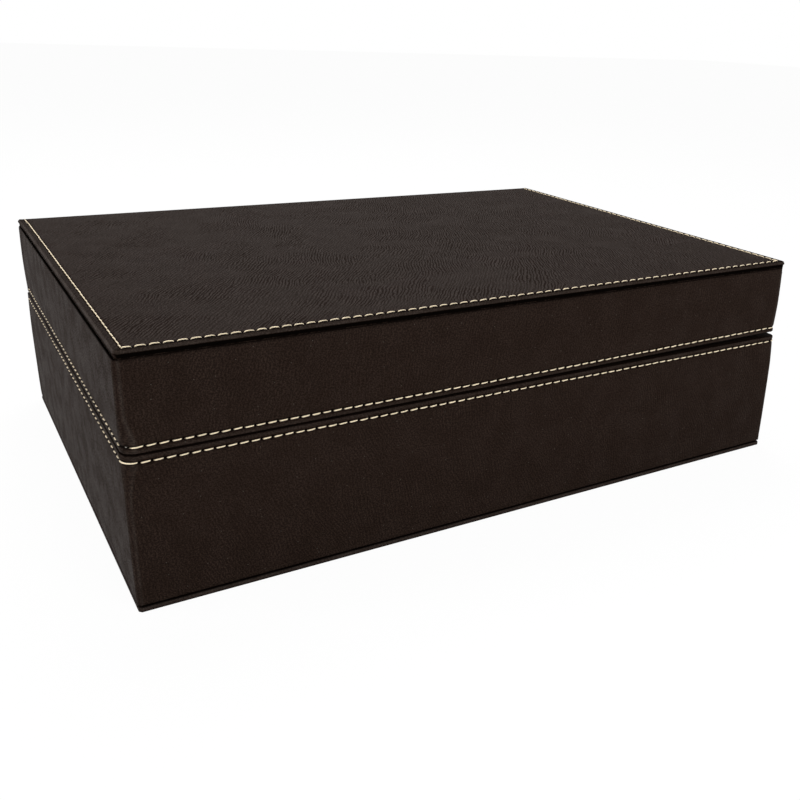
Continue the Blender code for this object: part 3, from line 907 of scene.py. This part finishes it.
    def back_stitches(self, side, seed, rings=9, fill=0.86):
        """Centre lines of the stitches between the holes of one row on the back sheet."""
        chance = np.random.default_rng(seed)
        holes = self.back_holes()
        middle = (holes[1:] + holes[:-1]) / 2
        share = np.linspace(-1, 1, rings)
        length = np.abs(np.diff(holes)) * fill * chance.uniform(0.95, 1.04, len(middle))
        z = middle[:, None] - share[None, :] * length[:, None] / 2
        x = side * self.row_x + 0.08 * MM * share
        y = BACK - 0.20 * MM + 0.38 * MM * (1 - share**4) - 0.22 * MM * share**6
        return joined(x, y, z), joined(0 * z, 1.0, 0.0), chance.uniform(0, 1, len(middle))


def add_fold(name):
    """The strip that folds: a grid across the back, with a soft valley along the seam.

    The outer face lies at BACK less a bell over the height; the strip's ends meet
    the two back sheets, and its inner face is flat.
    """
    low = FOOT_HIGH.z
    high = PANEL_LOW.z
    heights = np.linspace(low, high, 29)
    across = np.linspace(-SHEET_HALF, SHEET_HALF, 121)
    x, z = np.broadcast_arrays(across[None, :], heights[:, None])
    ends = smooth_step(np.minimum(z - low, high - z), 0, 0.8 * MM)
    valley = 0.30 * MM * bell(z - SEAM, 0.9 * MM) * ends
    uneven = relief(x, z * 4, 37, 0.04 * MM) * ends
    outer = joined(x, BACK - valley + uneven, z)
    inner = joined(x, BACK - SHEET_THICKNESS, z)
    sheet_map = joined(x, BACK + SHEET_OVERHANG + PANEL_HIGH.z - z)
    work = Patchwork()
    # The dark mark paints shade into the valley along the seam
    work.add(outer, sheet_map, {"dark": valley / (0.30 * MM) * 0.6, "rubbed": 0 * z})
    work.add(inner[::-1], sheet_map[::-1])
    for row in (0, -1):
        end = np.stack((outer[row], inner[row]))
        work.add(end if row else end[::-1], end[..., :2])
    for column in (0, -1):
        side = np.stack((outer[:, column], inner[:, column]), axis=1)
        work.add(side if column else side[:, ::-1], side[..., 1:])
    piece = work.build(name)
    data = bmesh.new()
    data.from_mesh(piece.data)
    bmesh.ops.recalc_face_normals(data, faces=data.faces)
    data.to_mesh(piece.data)
    data.free()
    return piece


def add_soft_block(name, node, facing, crown, roll, seed):
    """A padded card in a node's box: flat on its back, rolled at its edges, crowned on its face.

    In the card's own plane the outline is a rounded rectangle. A section runs
    from the middle of the back out to the edge, up the swelling side, round a
    quarter roll and in over the face to the middle. facing is the axis and sign
    of the face's direction.
    """
    low, high = (np.array(corner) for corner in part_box(node))
    axis, sign = facing
    plane = [index for index in range(3) if index != axis]
    spans = (high - low)[plane]
    order = plane if spans[0] >= spans[1] else plane[::-1]
    half_u, half_v = (high - low)[order] / 2
    middle = (high + low) / 2
    depth = (high - low)[axis] - crown
    outline = RoundOutline(half_u, -half_v, half_v, min(1.6 * MM, half_v / 3))
    front = spread(outline.runs[0], 6 * MM, 0.7 * MM, (0, outline.runs[0]), 2 * MM)
    side = spread(outline.runs[1], 5 * MM, 0.7 * MM, (0, outline.runs[1]), 2 * MM)
    along = closed_walk(outline, front, side)
    edge = arc((roll, depth - roll), roll, 180, 90, 5)
    face_insets = roll + (half_v - roll) * np.array((0.03, 0.08, 0.16, 0.27, 0.4, 0.55, 0.7, 0.85, 1.0))
    back = np.array(((half_v, 0), (half_v * 0.5, 0), (0.25 * MM, 0), (0, 0.25 * MM)))
    rows = np.concatenate((back, edge, joined(face_insets, depth)))
    inset, height = (np.broadcast_to(part[:, None], (len(rows), len(along))) for part in rows.T)
    wide = np.broadcast_to(along[None, :], inset.shape)
    u, v = outline.place(wide, inset)
    rise = np.sqrt(np.clip((inset - roll) / (8 * MM), 0, 1)) * (np.arange(len(rows)) > 8)[:, None]
    wave = relief(u, v, seed, 0.05 * MM) * smooth_step(inset, roll, 10 * MM)
    height = height + rise * crown * 0.8 + np.where(rise > 0, wave, 0)
    height = np.where(np.arange(len(rows))[:, None] == len(rows) - 1, height.max(axis=1)[-1], height)
    points = np.zeros((*u.shape, 3))
    points[..., order[0]] = u + middle[order[0]]
    points[..., order[1]] = v + middle[order[1]]
    back_face = low[axis] if sign > 0 else high[axis]
    points[..., axis] = back_face + sign * height
    work = Patchwork()
    work.add(points, joined(u, v), around=True)
    return work.build(name)


class Nodes:
    """Short ways to add shader nodes to a tree. Most give back the new node's output."""

    def __init__(self, tree):
        self.tree = tree

    def feed(self, socket, value):
        """Give an input a value, or link another node's output to it."""
        if isinstance(value, bpy.types.NodeSocket):
            self.tree.links.new(value, socket)
        else:
            socket.default_value = value

    def feed_all(self, node, inputs):
        for key, value in inputs.items():
            self.feed(node.inputs[key], value)

    def add(self, kind, inputs=None, **settings):
        """Add a node with its settings and its inputs."""
        made = self.tree.nodes.new("ShaderNode" + kind)
        for name, value in settings.items():
            setattr(made, name, value)
        self.feed_all(made, inputs or {})
        return made

    def maths(self, operation, first, second=0.0, clamp=False):
        inputs = {0: first, 1: second}
        return self.add("Math", inputs, operation=operation, use_clamp=clamp).outputs[0]

    def times(self, first, *others):
        """The product of all the values."""
        for other in others:
            first = self.maths("MULTIPLY", first, other)
        return first

    def plus(self, first, *others):
        """The sum of all the values."""
        for other in others:
            first = self.maths("ADD", first, other)
        return first

    def vector(self, operation, first, second):
        return self.add("VectorMath", {0: first, 1: second}, operation=operation).outputs[0]

    def parts(self, vector):
        """The X, Y and Z of a vector."""
        return self.add("SeparateXYZ", {0: vector}).outputs

    def whole(self, x, y, z):
        """The vector of an X, a Y and a Z."""
        return self.add("CombineXYZ", {0: x, 1: y, 2: z}).outputs[0]

    def mix(self, factor, first, second):
        return self.add("Mix", {0: factor, 2: first, 3: second}).outputs[0]

    def mix_colour(self, factor, first, second):
        """A mix of two colours, whose sockets are numbers 6 and 7."""
        inputs = {0: factor, 6: first, 7: second}
        return self.add("Mix", inputs, data_type="RGBA", blend_type="MIX").outputs[2]

    def ramp(self, value, low, high, start=0.0, end=1.0):
        """A smooth step from start at low to end at high."""
        inputs = {0: value, 1: low, 2: high, 3: start, 4: end}
        return self.add("MapRange", inputs, interpolation_type="SMOOTHSTEP").outputs[0]

    def noise(self, vector, scale, detail, roughness, output=0, distortion=0.0, dimensions="2D"):
        """A Noise texture; output 0 is its value and 1 its colour."""
        inputs = {"Vector": vector, "Scale": scale, "Detail": detail, "Roughness": roughness}
        inputs["Distortion"] = distortion
        return self.add("TexNoise", inputs, noise_dimensions=dimensions).outputs[output]

    def attribute(self, name):
        """A vertex attribute's value."""
        made = self.add("Attribute", attribute_name=name, attribute_type="GEOMETRY")
        return made.outputs["Fac"]

    def sheet(self):
        """The map of the flat sheet, in metres."""
        return self.add("UVMap", uv_map=SHEET_MAP).outputs[0]

    def object_place(self):
        return self.add("TexCoord").outputs["Object"]

    def bump(self, height, strength=1.0, distance=MM):
        inputs = {"Strength": strength, "Distance": distance, "Height": height}
        return self.add("Bump", inputs).outputs[0]

    def seen(self):
        """1 on the rays of the camera and of reflections, 0 where a surface is lit."""
        light = self.add("LightPath").outputs
        either = self.maths("MAXIMUM", light["Is Camera Ray"], light["Is Glossy Ray"])
        return self.maths("MAXIMUM", either, light["Is Transmission Ray"])


def colour4(colour, share=1.0):
    """A colour times a share, none of it over 1, with its alpha."""
    return (*(min(part * share, 1.0) for part in colour), 1.0)


def waves(nodes, vector, turn, pitch):
    """Fine even ripples: a sine of the turned map, whose phase a stretched noise pushes about."""
    inputs = {"Vector": vector, "Angle": turn}
    turned = nodes.add("VectorRotate", inputs, rotation_type="Z_AXIS").outputs[0]
    across = nodes.parts(turned)[1]
    push = nodes.noise(nodes.vector("MULTIPLY", turned, (0.12, 0.36, 1.0)), 1.0, 1.5, 0.5)
    phase = nodes.times(across, 2 * math.pi / pitch)
    phase = nodes.plus(phase, nodes.times(push, 9.0))
    return nodes.plus(nodes.times(nodes.maths("SINE", phase), 0.2), 0.5)


def creased_grain_group():
    """Leather grain on a map in metres: ripples that swirl and come and go, over fine pebbles.

    The ripples are even waves. A slow noise bends the map a little, and another
    noise pushes the waves' phase about. Two sets of waves in two directions take
    over from each other from place to place, and along the map's first direction
    by the lean. The crease mask is 0.33 plus the ripples' swing about their
    middle, times how strong they are at that place; the leather paints shade into
    the creases with it, and into the low spots of the grit. Smear draws the
    mottling out along one direction.
    """
    tree = bpy.data.node_groups.new("creased_grain", "ShaderNodeTree")
    tree.interface.new_socket(name="Vector", in_out="INPUT", socket_type="NodeSocketVector")
    for name, value in GRAIN_INPUTS.items():
        made = tree.interface.new_socket(name=name, in_out="INPUT", socket_type="NodeSocketFloat")
        made.default_value = value
    for name in ("Height", "Crease Mask", "Grit", "Mottle", "Speck"):
        tree.interface.new_socket(name=name, in_out="OUTPUT", socket_type="NodeSocketFloat")
    given = tree.nodes.new("NodeGroupInput").outputs
    result = tree.nodes.new("NodeGroupOutput")
    nodes = Nodes(tree)

    scaled = nodes.vector("MULTIPLY", given["Vector"], MM_MAP)
    flat = nodes.vector("ADD", scaled, nodes.whole(given["Shift"], given["Shift"], 0.0))
    slow = nodes.noise(flat, 0.022, 1.0, 0.4, output=1)
    bend = nodes.vector("MULTIPLY", nodes.vector("ADD", slow, (-0.5, -0.5, -0.5)), (6, 6, 0))
    bent = nodes.vector("ADD", flat, bend)
    first = waves(nodes, bent, given["First Turn"], 1.35)
    second = waves(nodes, bent, given["Second Turn"], 1.25)
    lean = nodes.times(nodes.parts(scaled)[0], given["Lean"])
    choice = nodes.ramp(nodes.plus(nodes.noise(flat, 0.028, 1.0, 0.5), lean), 0.42, 0.58)
    either = nodes.mix(0.15, nodes.mix(choice, first, second), nodes.noise(bent, 0.7, 1.0, 0.5))
    crease = nodes.ramp(either, 0.40, 0.58)
    patch = nodes.plus(nodes.noise(flat, 0.035, 2.0, 0.5), nodes.times(lean, 0.5))
    patch = nodes.ramp(patch, 0.36, 0.54, 0.35, 1.0)
    fine = nodes.noise(bent, 1.5, 1.0, 0.6)
    pebble = nodes.noise(flat, 2.7, 1.0, 0.6)
    crease_height = nodes.times(crease, patch, given["Crease"], GRAIN_HEIGHT)
    fine_height = nodes.times(fine, given["Crease"], GRAIN_HEIGHT)
    pebble_height = nodes.times(pebble, given["Pebble"], GRAIN_HEIGHT)
    swing = nodes.times(nodes.maths("SUBTRACT", 0.5, crease), patch)
    valley = nodes.maths("ADD", swing, 0.33, clamp=True)
    grit = nodes.plus(nodes.times(fine, 0.5), nodes.times(pebble, 0.5))
    stretched = nodes.vector("MULTIPLY", flat, nodes.whole(1.0, given["Smear"], 1.0))
    inputs = {"Vector": flat, "Scale": 0.14, "Randomness": 1.0}
    dots = nodes.add("TexVoronoi", inputs, voronoi_dimensions="2D").outputs
    near = nodes.ramp(dots["Distance"], 0.016, 0.030, 1.0, 0.0)
    chance = nodes.add("SeparateColor", {0: dots["Color"]}).outputs[0]
    outputs = {
        "Height": nodes.plus(crease_height, fine_height, pebble_height),
        "Crease Mask": nodes.times(valley, given["Crease"]),
        "Grit": nodes.ramp(grit, 0.42, 0.58),
        "Mottle": nodes.noise(stretched, 0.09, 4.0, 0.65),
        "Speck": nodes.times(near, nodes.maths("GREATER_THAN", chance, 0.72)),
    }
    nodes.feed_all(result, outputs)
    return tree


def new_material(name):
    """A material, a helper for its nodes, and its shader."""
    made = bpy.data.materials.new(name)
    made.use_nodes = True
    return made, Nodes(made.node_tree), made.node_tree.nodes["Principled BSDF"]


def leather_material(name, colours, grain, values, cloud):
    """Dark leatherette: creased grain with painted shade in its creases, mottled tone, painted highlights
    along its edges, and painted shade in holes, troughs and crevices.

    cloud holds the gloss of the mottling's dark and light places, as shares.
    """
    _, nodes, shader = new_material(name)
    group = nodes.add("Group", {"Vector": nodes.sheet(), **values}, node_tree=grain).outputs
    crease, grit, mottle = (group[part] for part in ("Crease Mask", "Grit", "Mottle"))
    # dark carries painted shade: crevices, the seam, troughs, needle holes and the thread's shadow
    dark = nodes.attribute("dark")
    plain = colour4(colours.leather)
    painted_shade_tone = colour4(colours.leather, 0.4)
    pale = colour4(colours.leather, 1.35)
    colour = nodes.mix_colour(nodes.ramp(mottle, 0.3, 0.7, 0.0, 0.5), plain, pale)
    # Painted shade in the grain's creases, and in the low spots of the fine grain
    colour = nodes.mix_colour(nodes.times(crease, 0.9), colour, painted_shade_tone)
    colour = nodes.mix_colour(nodes.ramp(grit, 0.0, 1.0, 0.95, 0.0), colour, painted_shade_tone)
    # Painted highlights along edges, lips and corner ridges, broken up by the mottling and grain
    highlight_share = nodes.times(nodes.attribute("rubbed"), nodes.ramp(mottle, 0.25, 0.65, 0.45, 1.0))
    highlight_share = nodes.times(highlight_share, nodes.ramp(grit, 0.0, 1.0, 0.6, 1.0))
    colour = nodes.mix_colour(nodes.times(highlight_share, 0.7), colour, colour4(colours.leather_highlight))
    colour = nodes.mix_colour(nodes.times(group["Speck"], 0.45), colour, SPECK_COLOUR)
    # Painted shade wherever the dark mark is
    colour = nodes.mix_colour(dark, colour, PAINTED_SHADE_COLOUR)
    rough = nodes.ramp(mottle, 0.25, 0.75, 0.55, 0.68)
    gloss = nodes.ramp(crease, 0.0, 1.0, 1.25, 0.30)
    gloss = nodes.times(gloss, nodes.ramp(grit, 0.0, 1.0, 0.62, 1.3))
    gloss = nodes.times(gloss, nodes.ramp(mottle, 0.36, 0.64, *cloud))
    shine = nodes.times(gloss, nodes.maths("SUBTRACT", 1.0, dark, clamp=True))
    inputs = {
        "Base Color": colour,
        "Roughness": nodes.maths("SUBTRACT", rough, nodes.times(highlight_share, 0.12)),
        "Coat Weight": nodes.times(shine, COAT),
        "Normal": nodes.bump(group["Height"]),
        "Specular IOR Level": 0.0,
        "Coat Roughness": 0.48,
        "Coat IOR": COAT_IOR,
    }
    nodes.feed_all(shader, inputs)


def thread_material(colours):
    """Waxed thread: two plies twisted together with painted shade between them, and a little tone from
    stitch to stitch, less on the side rows as painted shade.
    """
    _, nodes, shader = new_material("cream_thread")
    parts = nodes.parts(nodes.sheet())
    twist = nodes.times(parts[0], 2 * math.pi / TWIST_PITCH)
    turn = nodes.times(parts[1], 4 * math.pi)
    ply = nodes.maths("SINE", nodes.plus(twist, turn))
    ply = nodes.add("Math", {0: ply, 1: 0.5, 2: 0.5}, operation="MULTIPLY_ADD").outputs[0]
    # Painted shade between the plies, in the thread_gold colour
    between = nodes.ramp(ply, 0.0, 0.55, 0.42, 0.0)
    colour = nodes.mix_colour(between, colour4(colours.thread), colour4(colours.thread_gold))
    # Random tone per stitch, and less brightening on the side rows as painted shade
    tone = nodes.times(nodes.attribute("stitch_tone"), 0.35)
    inputs = {
        "Base Color": nodes.mix_colour(tone, colour, colour4(colours.thread, 1.06)),
        "Roughness": nodes.ramp(ply, 0.0, 1.0, 0.62, 0.46),
        "Normal": nodes.bump(ply, 0.7, 0.12 * MM),
        "Specular IOR Level": 0.3,
        "Sheen Weight": 0.15,
    }
    nodes.feed_all(shader, inputs)


def suede_material(colours):
    """Short-napped cloth: strokes where the nap lies one way or the other, over a fine fuzz."""
    _, nodes, shader = new_material("dark_suede")
    flat = nodes.vector("MULTIPLY", nodes.sheet(), MM_MAP)
    strokes = nodes.vector("MULTIPLY", flat, (0.028, 0.075, 1))
    lie = nodes.noise(strokes, 1.0, 3.0, 0.5, distortion=0.3)
    fuzz = nodes.noise(flat, 3.2, 3.0, 0.7)
    brushed = colour4(colours.suede, 1.35)
    colour = nodes.mix_colour(nodes.ramp(lie, 0.3, 0.72), colour4(colours.suede), brushed)
    height = nodes.plus(nodes.times(fuzz, 0.10), nodes.times(lie, 0.12))
    inputs = {
        "Base Color": nodes.mix_colour(nodes.ramp(fuzz, 0.35, 0.7, 0.0, 0.4), colour, brushed),
        "Roughness": nodes.ramp(lie, 0.3, 0.7, 0.96, 0.82),
        "Normal": nodes.bump(height),
        "Specular IOR Level": 0.1,
        "Sheen Weight": 0.45,
        "Sheen Roughness": 0.35,
    }
    nodes.feed_all(shader, inputs)


def board_material(colours):
    """Grey board: pressed fibres and flecks."""
    _, nodes, shader = new_material("grey_board")
    place = nodes.object_place()
    flecks = nodes.noise(place, 900, 3.0, 0.6, dimensions="3D")
    clouds = nodes.noise(place, 60, 3.0, 0.5, dimensions="3D")
    dark = colour4(colours.board, 0.72)
    colour = nodes.mix_colour(nodes.ramp(flecks, 0.35, 0.65), dark, colour4(colours.board))
    inputs = {
        "Base Color": nodes.mix_colour(nodes.ramp(clouds, 0.3, 0.7, 0.0, 0.3), colour, dark),
        "Roughness": nodes.ramp(flecks, 0.3, 0.7, 0.95, 0.85),
        "Normal": nodes.bump(flecks, 0.5, 0.05 * MM),
    }
    nodes.feed_all(shader, inputs)


def finish(name):
    """One of the materials made at the start."""
    return bpy.data.materials[name]


class GIFTBOX_OT_finishes(bpy.types.Operator):
    """Make the leather, thread, suede and board materials"""

    bl_idname = "gift_box.finishes"
    bl_label = "Make finishes"

    def execute(self, context):
        colours = context.scene.gift_box_colours
        grain = creased_grain_group()
        leather_material("panel_leather", colours, grain, PANEL_GRAIN, PANEL_CLOUD)
        leather_material("wall_leather", colours, grain, WALL_GRAIN, WALL_CLOUD)
        thread_material(colours)
        suede_material(colours)
        board_material(colours)
        return {"FINISHED"}


class GIFTBOX_OT_walls(bpy.types.Operator):
    """Wrap the walls of the base and of the lid, and sew their rims"""

    bl_idname = "gift_box.walls"
    bl_label = "Wrap the walls"

    def execute(self, context):
        sizes = context.scene.gift_box_sizes
        trays = (("base", BASE_LOW, BASE_HIGH, 1), ("lid", LID_LOW, LID_HIGH, -1))
        for body, low, high, up in trays:
            tray = Tray(low, high, up, sizes)
            wrap = tray.build(f"{body}_wall_leather")
            finish_piece(wrap, body, "leatherette", finish("wall_leather"), f"{body}_wrap")
            last = int(tray.row.counts[-1]) - 1
            path = stitch_path(tray.row, 1, last, tray.stitch_place, 0.16 * MM, 41 + up)
            stitches = add_stitches(f"{body}_rim_stitches", [path], sizes.thread, 51 + up)
            finish_piece(stitches, body, "stitch_thread", finish("cream_thread"), f"{body}_rim_thread")
        return {"FINISHED"}


class GIFTBOX_OT_lid_cover(bpy.types.Operator):
    """Lay the cover over the top panel and down the back, and sew it"""

    bl_idname = "gift_box.lid_cover"
    bl_label = "Cover the lid"

    def execute(self, context):
        sizes = context.scene.gift_box_sizes
        half_x = PANEL_HIGH.x - SIDE_TRIM
        front = PANEL_LOW.y + FRONT_TRIM
        face = PANEL_HIGH.z
        end = PANEL_LOW.z
        cover = Cover(half_x, front, PANEL_CORNER, face, -1, end, sizes, sewn=True)
        piece = cover.build("lid_cover_leather")
        finish_piece(piece, "lid", "leatherette", finish("panel_leather"), "lid_cover", "lid_panel_board")
        count = int(cover.row.counts[-1])
        groups = [
            stitch_path(cover.row, 0, count, cover.stitch_place, 0.15 * MM, 61, (0.9, 0.84), 0.36 * MM),
            cover.back_stitches(-1, 62),
            cover.back_stitches(1, 63),
        ]
        stitches = add_stitches("lid_cover_stitches", groups, 0.88 * sizes.thread, 64)
        finish_piece(stitches, "lid", "stitch_thread", finish("cream_thread"), "lid_cover_thread")
        return {"FINISHED"}


class GIFTBOX_OT_base_cover(bpy.types.Operator):
    """Lay the cover under the box and up the back, and sew its two back rows"""

    bl_idname = "gift_box.base_cover"
    bl_label = "Cover the base"

    def execute(self, context):
        sizes = context.scene.gift_box_sizes
        face = FOOT_LOW.z
        end = FOOT_HIGH.z
        cover = Cover(FOOT_HIGH.x, FOOT_LOW.y, FOOT_CORNER, face, 1, end, sizes, sewn=False)
        piece = cover.build("base_cover_leather")
        finish_piece(piece, "base", "leatherette", finish("panel_leather"), "base_cover")
        for name, side in (("left", -1), ("right", 1)):
            groups = [cover.back_stitches(side, 71 + side)]
            stitches = add_stitches(f"base_cover_{name}_stitches", groups, sizes.thread, 73 + side)
            finish_piece(
                stitches, "base", "stitch_thread", finish("cream_thread"), f"base_cover_{name}_thread"
            )
        return {"FINISHED"}


class GIFTBOX_OT_fold(bpy.types.Operator):
    """Make the strip of the cover that folds with the lid"""

    bl_idname = "gift_box.fold"
    bl_label = "Make the fold"

    def execute(self, context):
        piece = add_fold("hinge_fold")
        piece.data.materials.append(finish("panel_leather"))
        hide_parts("hinge_leather")
        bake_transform(piece)
        return {"FINISHED"}


class GIFTBOX_OT_linings(bpy.types.Operator):
    """Line the walls with suede cards and pad the floor and the ceiling"""

    bl_idname = "gift_box.linings"
    bl_label = "Line the inside"

    def execute(self, context):
        suede = finish("dark_suede")
        facings = {"front": (1, 1), "back": (1, -1), "left": (0, 1), "right": (0, -1)}
        for body in ("base", "lid"):
            for index, (side, facing) in enumerate(facings.items()):
                node = f"{body}_{side}_lining"
                card = add_soft_block(f"{body}_{side}_card", node, facing, 0.25 * MM, 0.55 * MM, 80 + index)
                finish_piece(card, body, "suede_lining", suede, node)
        pads = (
            ("base", "base_floor_pad", (2, 1), 0.5 * MM, 0.8 * MM, 0.35),
            ("lid", "lid_ceiling_pad", (2, -1), 1.0 * MM, 1.1 * MM, 0.5),
        )
        for body, node, facing, crown, roll, fill in pads:
            pad = add_soft_block(f"{node}_suede", node, facing, crown, roll, 91)
            finish_piece(pad, body, "suede_lining", suede, node)
        return {"FINISHED"}


class GIFTBOX_OT_boards(bpy.types.Operator):
    """Give the boards inside the walls and panels their finish"""

    bl_idname = "gift_box.boards"
    bl_label = "Finish the boards"

    def execute(self, context):
        for name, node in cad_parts.items():
            if name.endswith("_board") and name != "lid_panel_board":
                node.data.materials.clear()
                node.data.materials.append(finish("grey_board"))
        return {"FINISHED"}


def floor_material(colours):
    """A pale floor: white paper that keeps a soft shadow, lifted towards white for the camera."""
    made, nodes, shader = new_material("studio_floor")
    shade = nodes.noise(nodes.object_place(), 3.0, 2.0, 0.5, dimensions="3D")
    paler = colour4(colours.floor, 1.02)
    inputs = {
        "Base Color": nodes.mix_colour(shade, colour4(colours.floor), paler),
        "Roughness": 0.9,
        "Specular IOR Level": 0.0,
    }
    nodes.feed_all(shader, inputs)
    white = nodes.add("Emission", {"Color": WHITE, "Strength": 1.0}).outputs[0]
    share = nodes.times(nodes.seen(), 0.965)
    mixed = nodes.add("MixShader", {0: share, 1: shader.outputs[0], 2: white}).outputs[0]
    nodes.feed(made.node_tree.nodes["Material Output"].inputs["Surface"], mixed)
    return made


def add_floor(colours):
    """One large flat quad just under the box."""
    half = 6.0
    mesh = bpy.data.meshes.new("studio_floor")
    corners = ((-half, -half), (half, -half), (half, half), (-half, half))
    mesh.from_pydata([(x, y, -0.05 * MM) for x, y in corners], [], [(0, 1, 2, 3)])
    mesh.materials.append(floor_material(colours))
    floor = bpy.data.objects.new("studio_floor", mesh)
    bpy.context.scene.collection.objects.link(floor)


def add_world():
    """An even studio sky, white to the camera and to reflections, softer as a light."""
    world = bpy.data.worlds.new("studio")
    bpy.context.scene.world = world
    world.use_nodes = True
    nodes = Nodes(world.node_tree)
    strength = nodes.ramp(nodes.seen(), 0.0, 1.0, 0.27, 1.0)
    nodes.feed_all(world.node_tree.nodes["Background"], {"Color": WHITE, "Strength": strength})


def add_lamp(name, place, target, size, power):
    """A square soft lamp that faces its target."""
    data = bpy.data.lights.new(name, "AREA")
    data.shape = "SQUARE"
    data.size = size
    data.energy = power
    lamp = bpy.data.objects.new(name, data)
    lamp.location = place
    lamp.rotation_euler = (Vector(target) - Vector(place)).to_track_quat("-Z", "Y").to_euler()
    bpy.context.scene.collection.objects.link(lamp)


def add_camera():
    """The photograph's view: an orbit about a target, rolled, with a small shift."""
    azimuth, elevation = math.radians(CAMERA_AZIMUTH), math.radians(CAMERA_ELEVATION)
    back = Vector(
        (
            math.sin(azimuth) * math.cos(elevation),
            -math.cos(azimuth) * math.cos(elevation),
            math.sin(elevation),
        )
    )
    data = bpy.data.cameras.new("photo_view")
    data.sensor_width = SENSOR_WIDTH
    data.lens = FOCAL_PIXELS / PICTURE * SENSOR_WIDTH
    data.shift_x = (PICTURE / 2 - CENTRE_PIXEL[0]) / PICTURE
    data.shift_y = (CENTRE_PIXEL[1] - PICTURE / 2) / PICTURE
    data.clip_start = 10 * MM
    data.clip_end = 50
    camera = bpy.data.objects.new("photo_view", data)
    turn = (-back).to_track_quat("-Z", "Y").to_matrix().to_4x4()
    roll = Matrix.Rotation(math.radians(CAMERA_ROLL), 4, "Z")
    camera.matrix_world = Matrix.Translation(Vector(CAMERA_TARGET) + back * CAMERA_DISTANCE) @ turn @ roll
    bpy.context.scene.collection.objects.link(camera)
    bpy.context.scene.camera = camera


class GIFTBOX_OT_stage(bpy.types.Operator):
    """Set the floor, the studio light and the camera"""

    bl_idname = "gift_box.stage"
    bl_label = "Set the stage"

    def execute(self, context):
        add_floor(context.scene.gift_box_colours)
        add_world()
        add_lamp("top_lamp", (0.25, 0.6, 1.2), (0, 0, 0.05), 0.8, 15)
        add_lamp("side_lamp", (-1.3, 0.2, 0.55), (0, 0, 0.05), 0.7, 11)
        add_lamp("front_lamp", (0.12, -0.9, 0.5), (0.05, 0, 0.05), 0.5, 6)
        add_camera()
        context.scene.view_settings.view_transform = "Standard"
        return {"FINISHED"}


class GIFTBOX_PT_pieces(bpy.types.Panel):
    """The steps that dress the box, with their sizes and colours"""

    bl_label = "Gift Box"
    bl_space_type = "VIEW_3D"
    bl_region_type = "UI"
    bl_category = "Gift Box"

    def draw(self, context):
        layout = self.layout
        for step in STEPS:
            layout.operator(step.bl_idname)
        for group in (context.scene.gift_box_sizes, context.scene.gift_box_colours):
            box = layout.box()
            for name in group.__annotations__:
                box.prop(group, name)


STEPS = (
    GIFTBOX_OT_finishes,
    GIFTBOX_OT_walls,
    GIFTBOX_OT_lid_cover,
    GIFTBOX_OT_base_cover,
    GIFTBOX_OT_fold,
    GIFTBOX_OT_linings,
    GIFTBOX_OT_boards,
    GIFTBOX_OT_stage,
)
CLASSES = (GiftBoxSizes, GiftBoxColours, *STEPS, GIFTBOX_PT_pieces)


def register():
    for made in CLASSES:
        bpy.utils.register_class(made)
    bpy.types.Scene.gift_box_sizes = PointerProperty(type=GiftBoxSizes)
    bpy.types.Scene.gift_box_colours = PointerProperty(type=GiftBoxColours)


def unregister():
    del bpy.types.Scene.gift_box_colours
    del bpy.types.Scene.gift_box_sizes
    for made in reversed(CLASSES):
        bpy.utils.unregister_class(made)


def main():
    register()
    for step in STEPS:
        family, name = step.bl_idname.split(".")
        getattr(getattr(bpy.ops, family), name)()


if __name__ == "__main__":
    main()
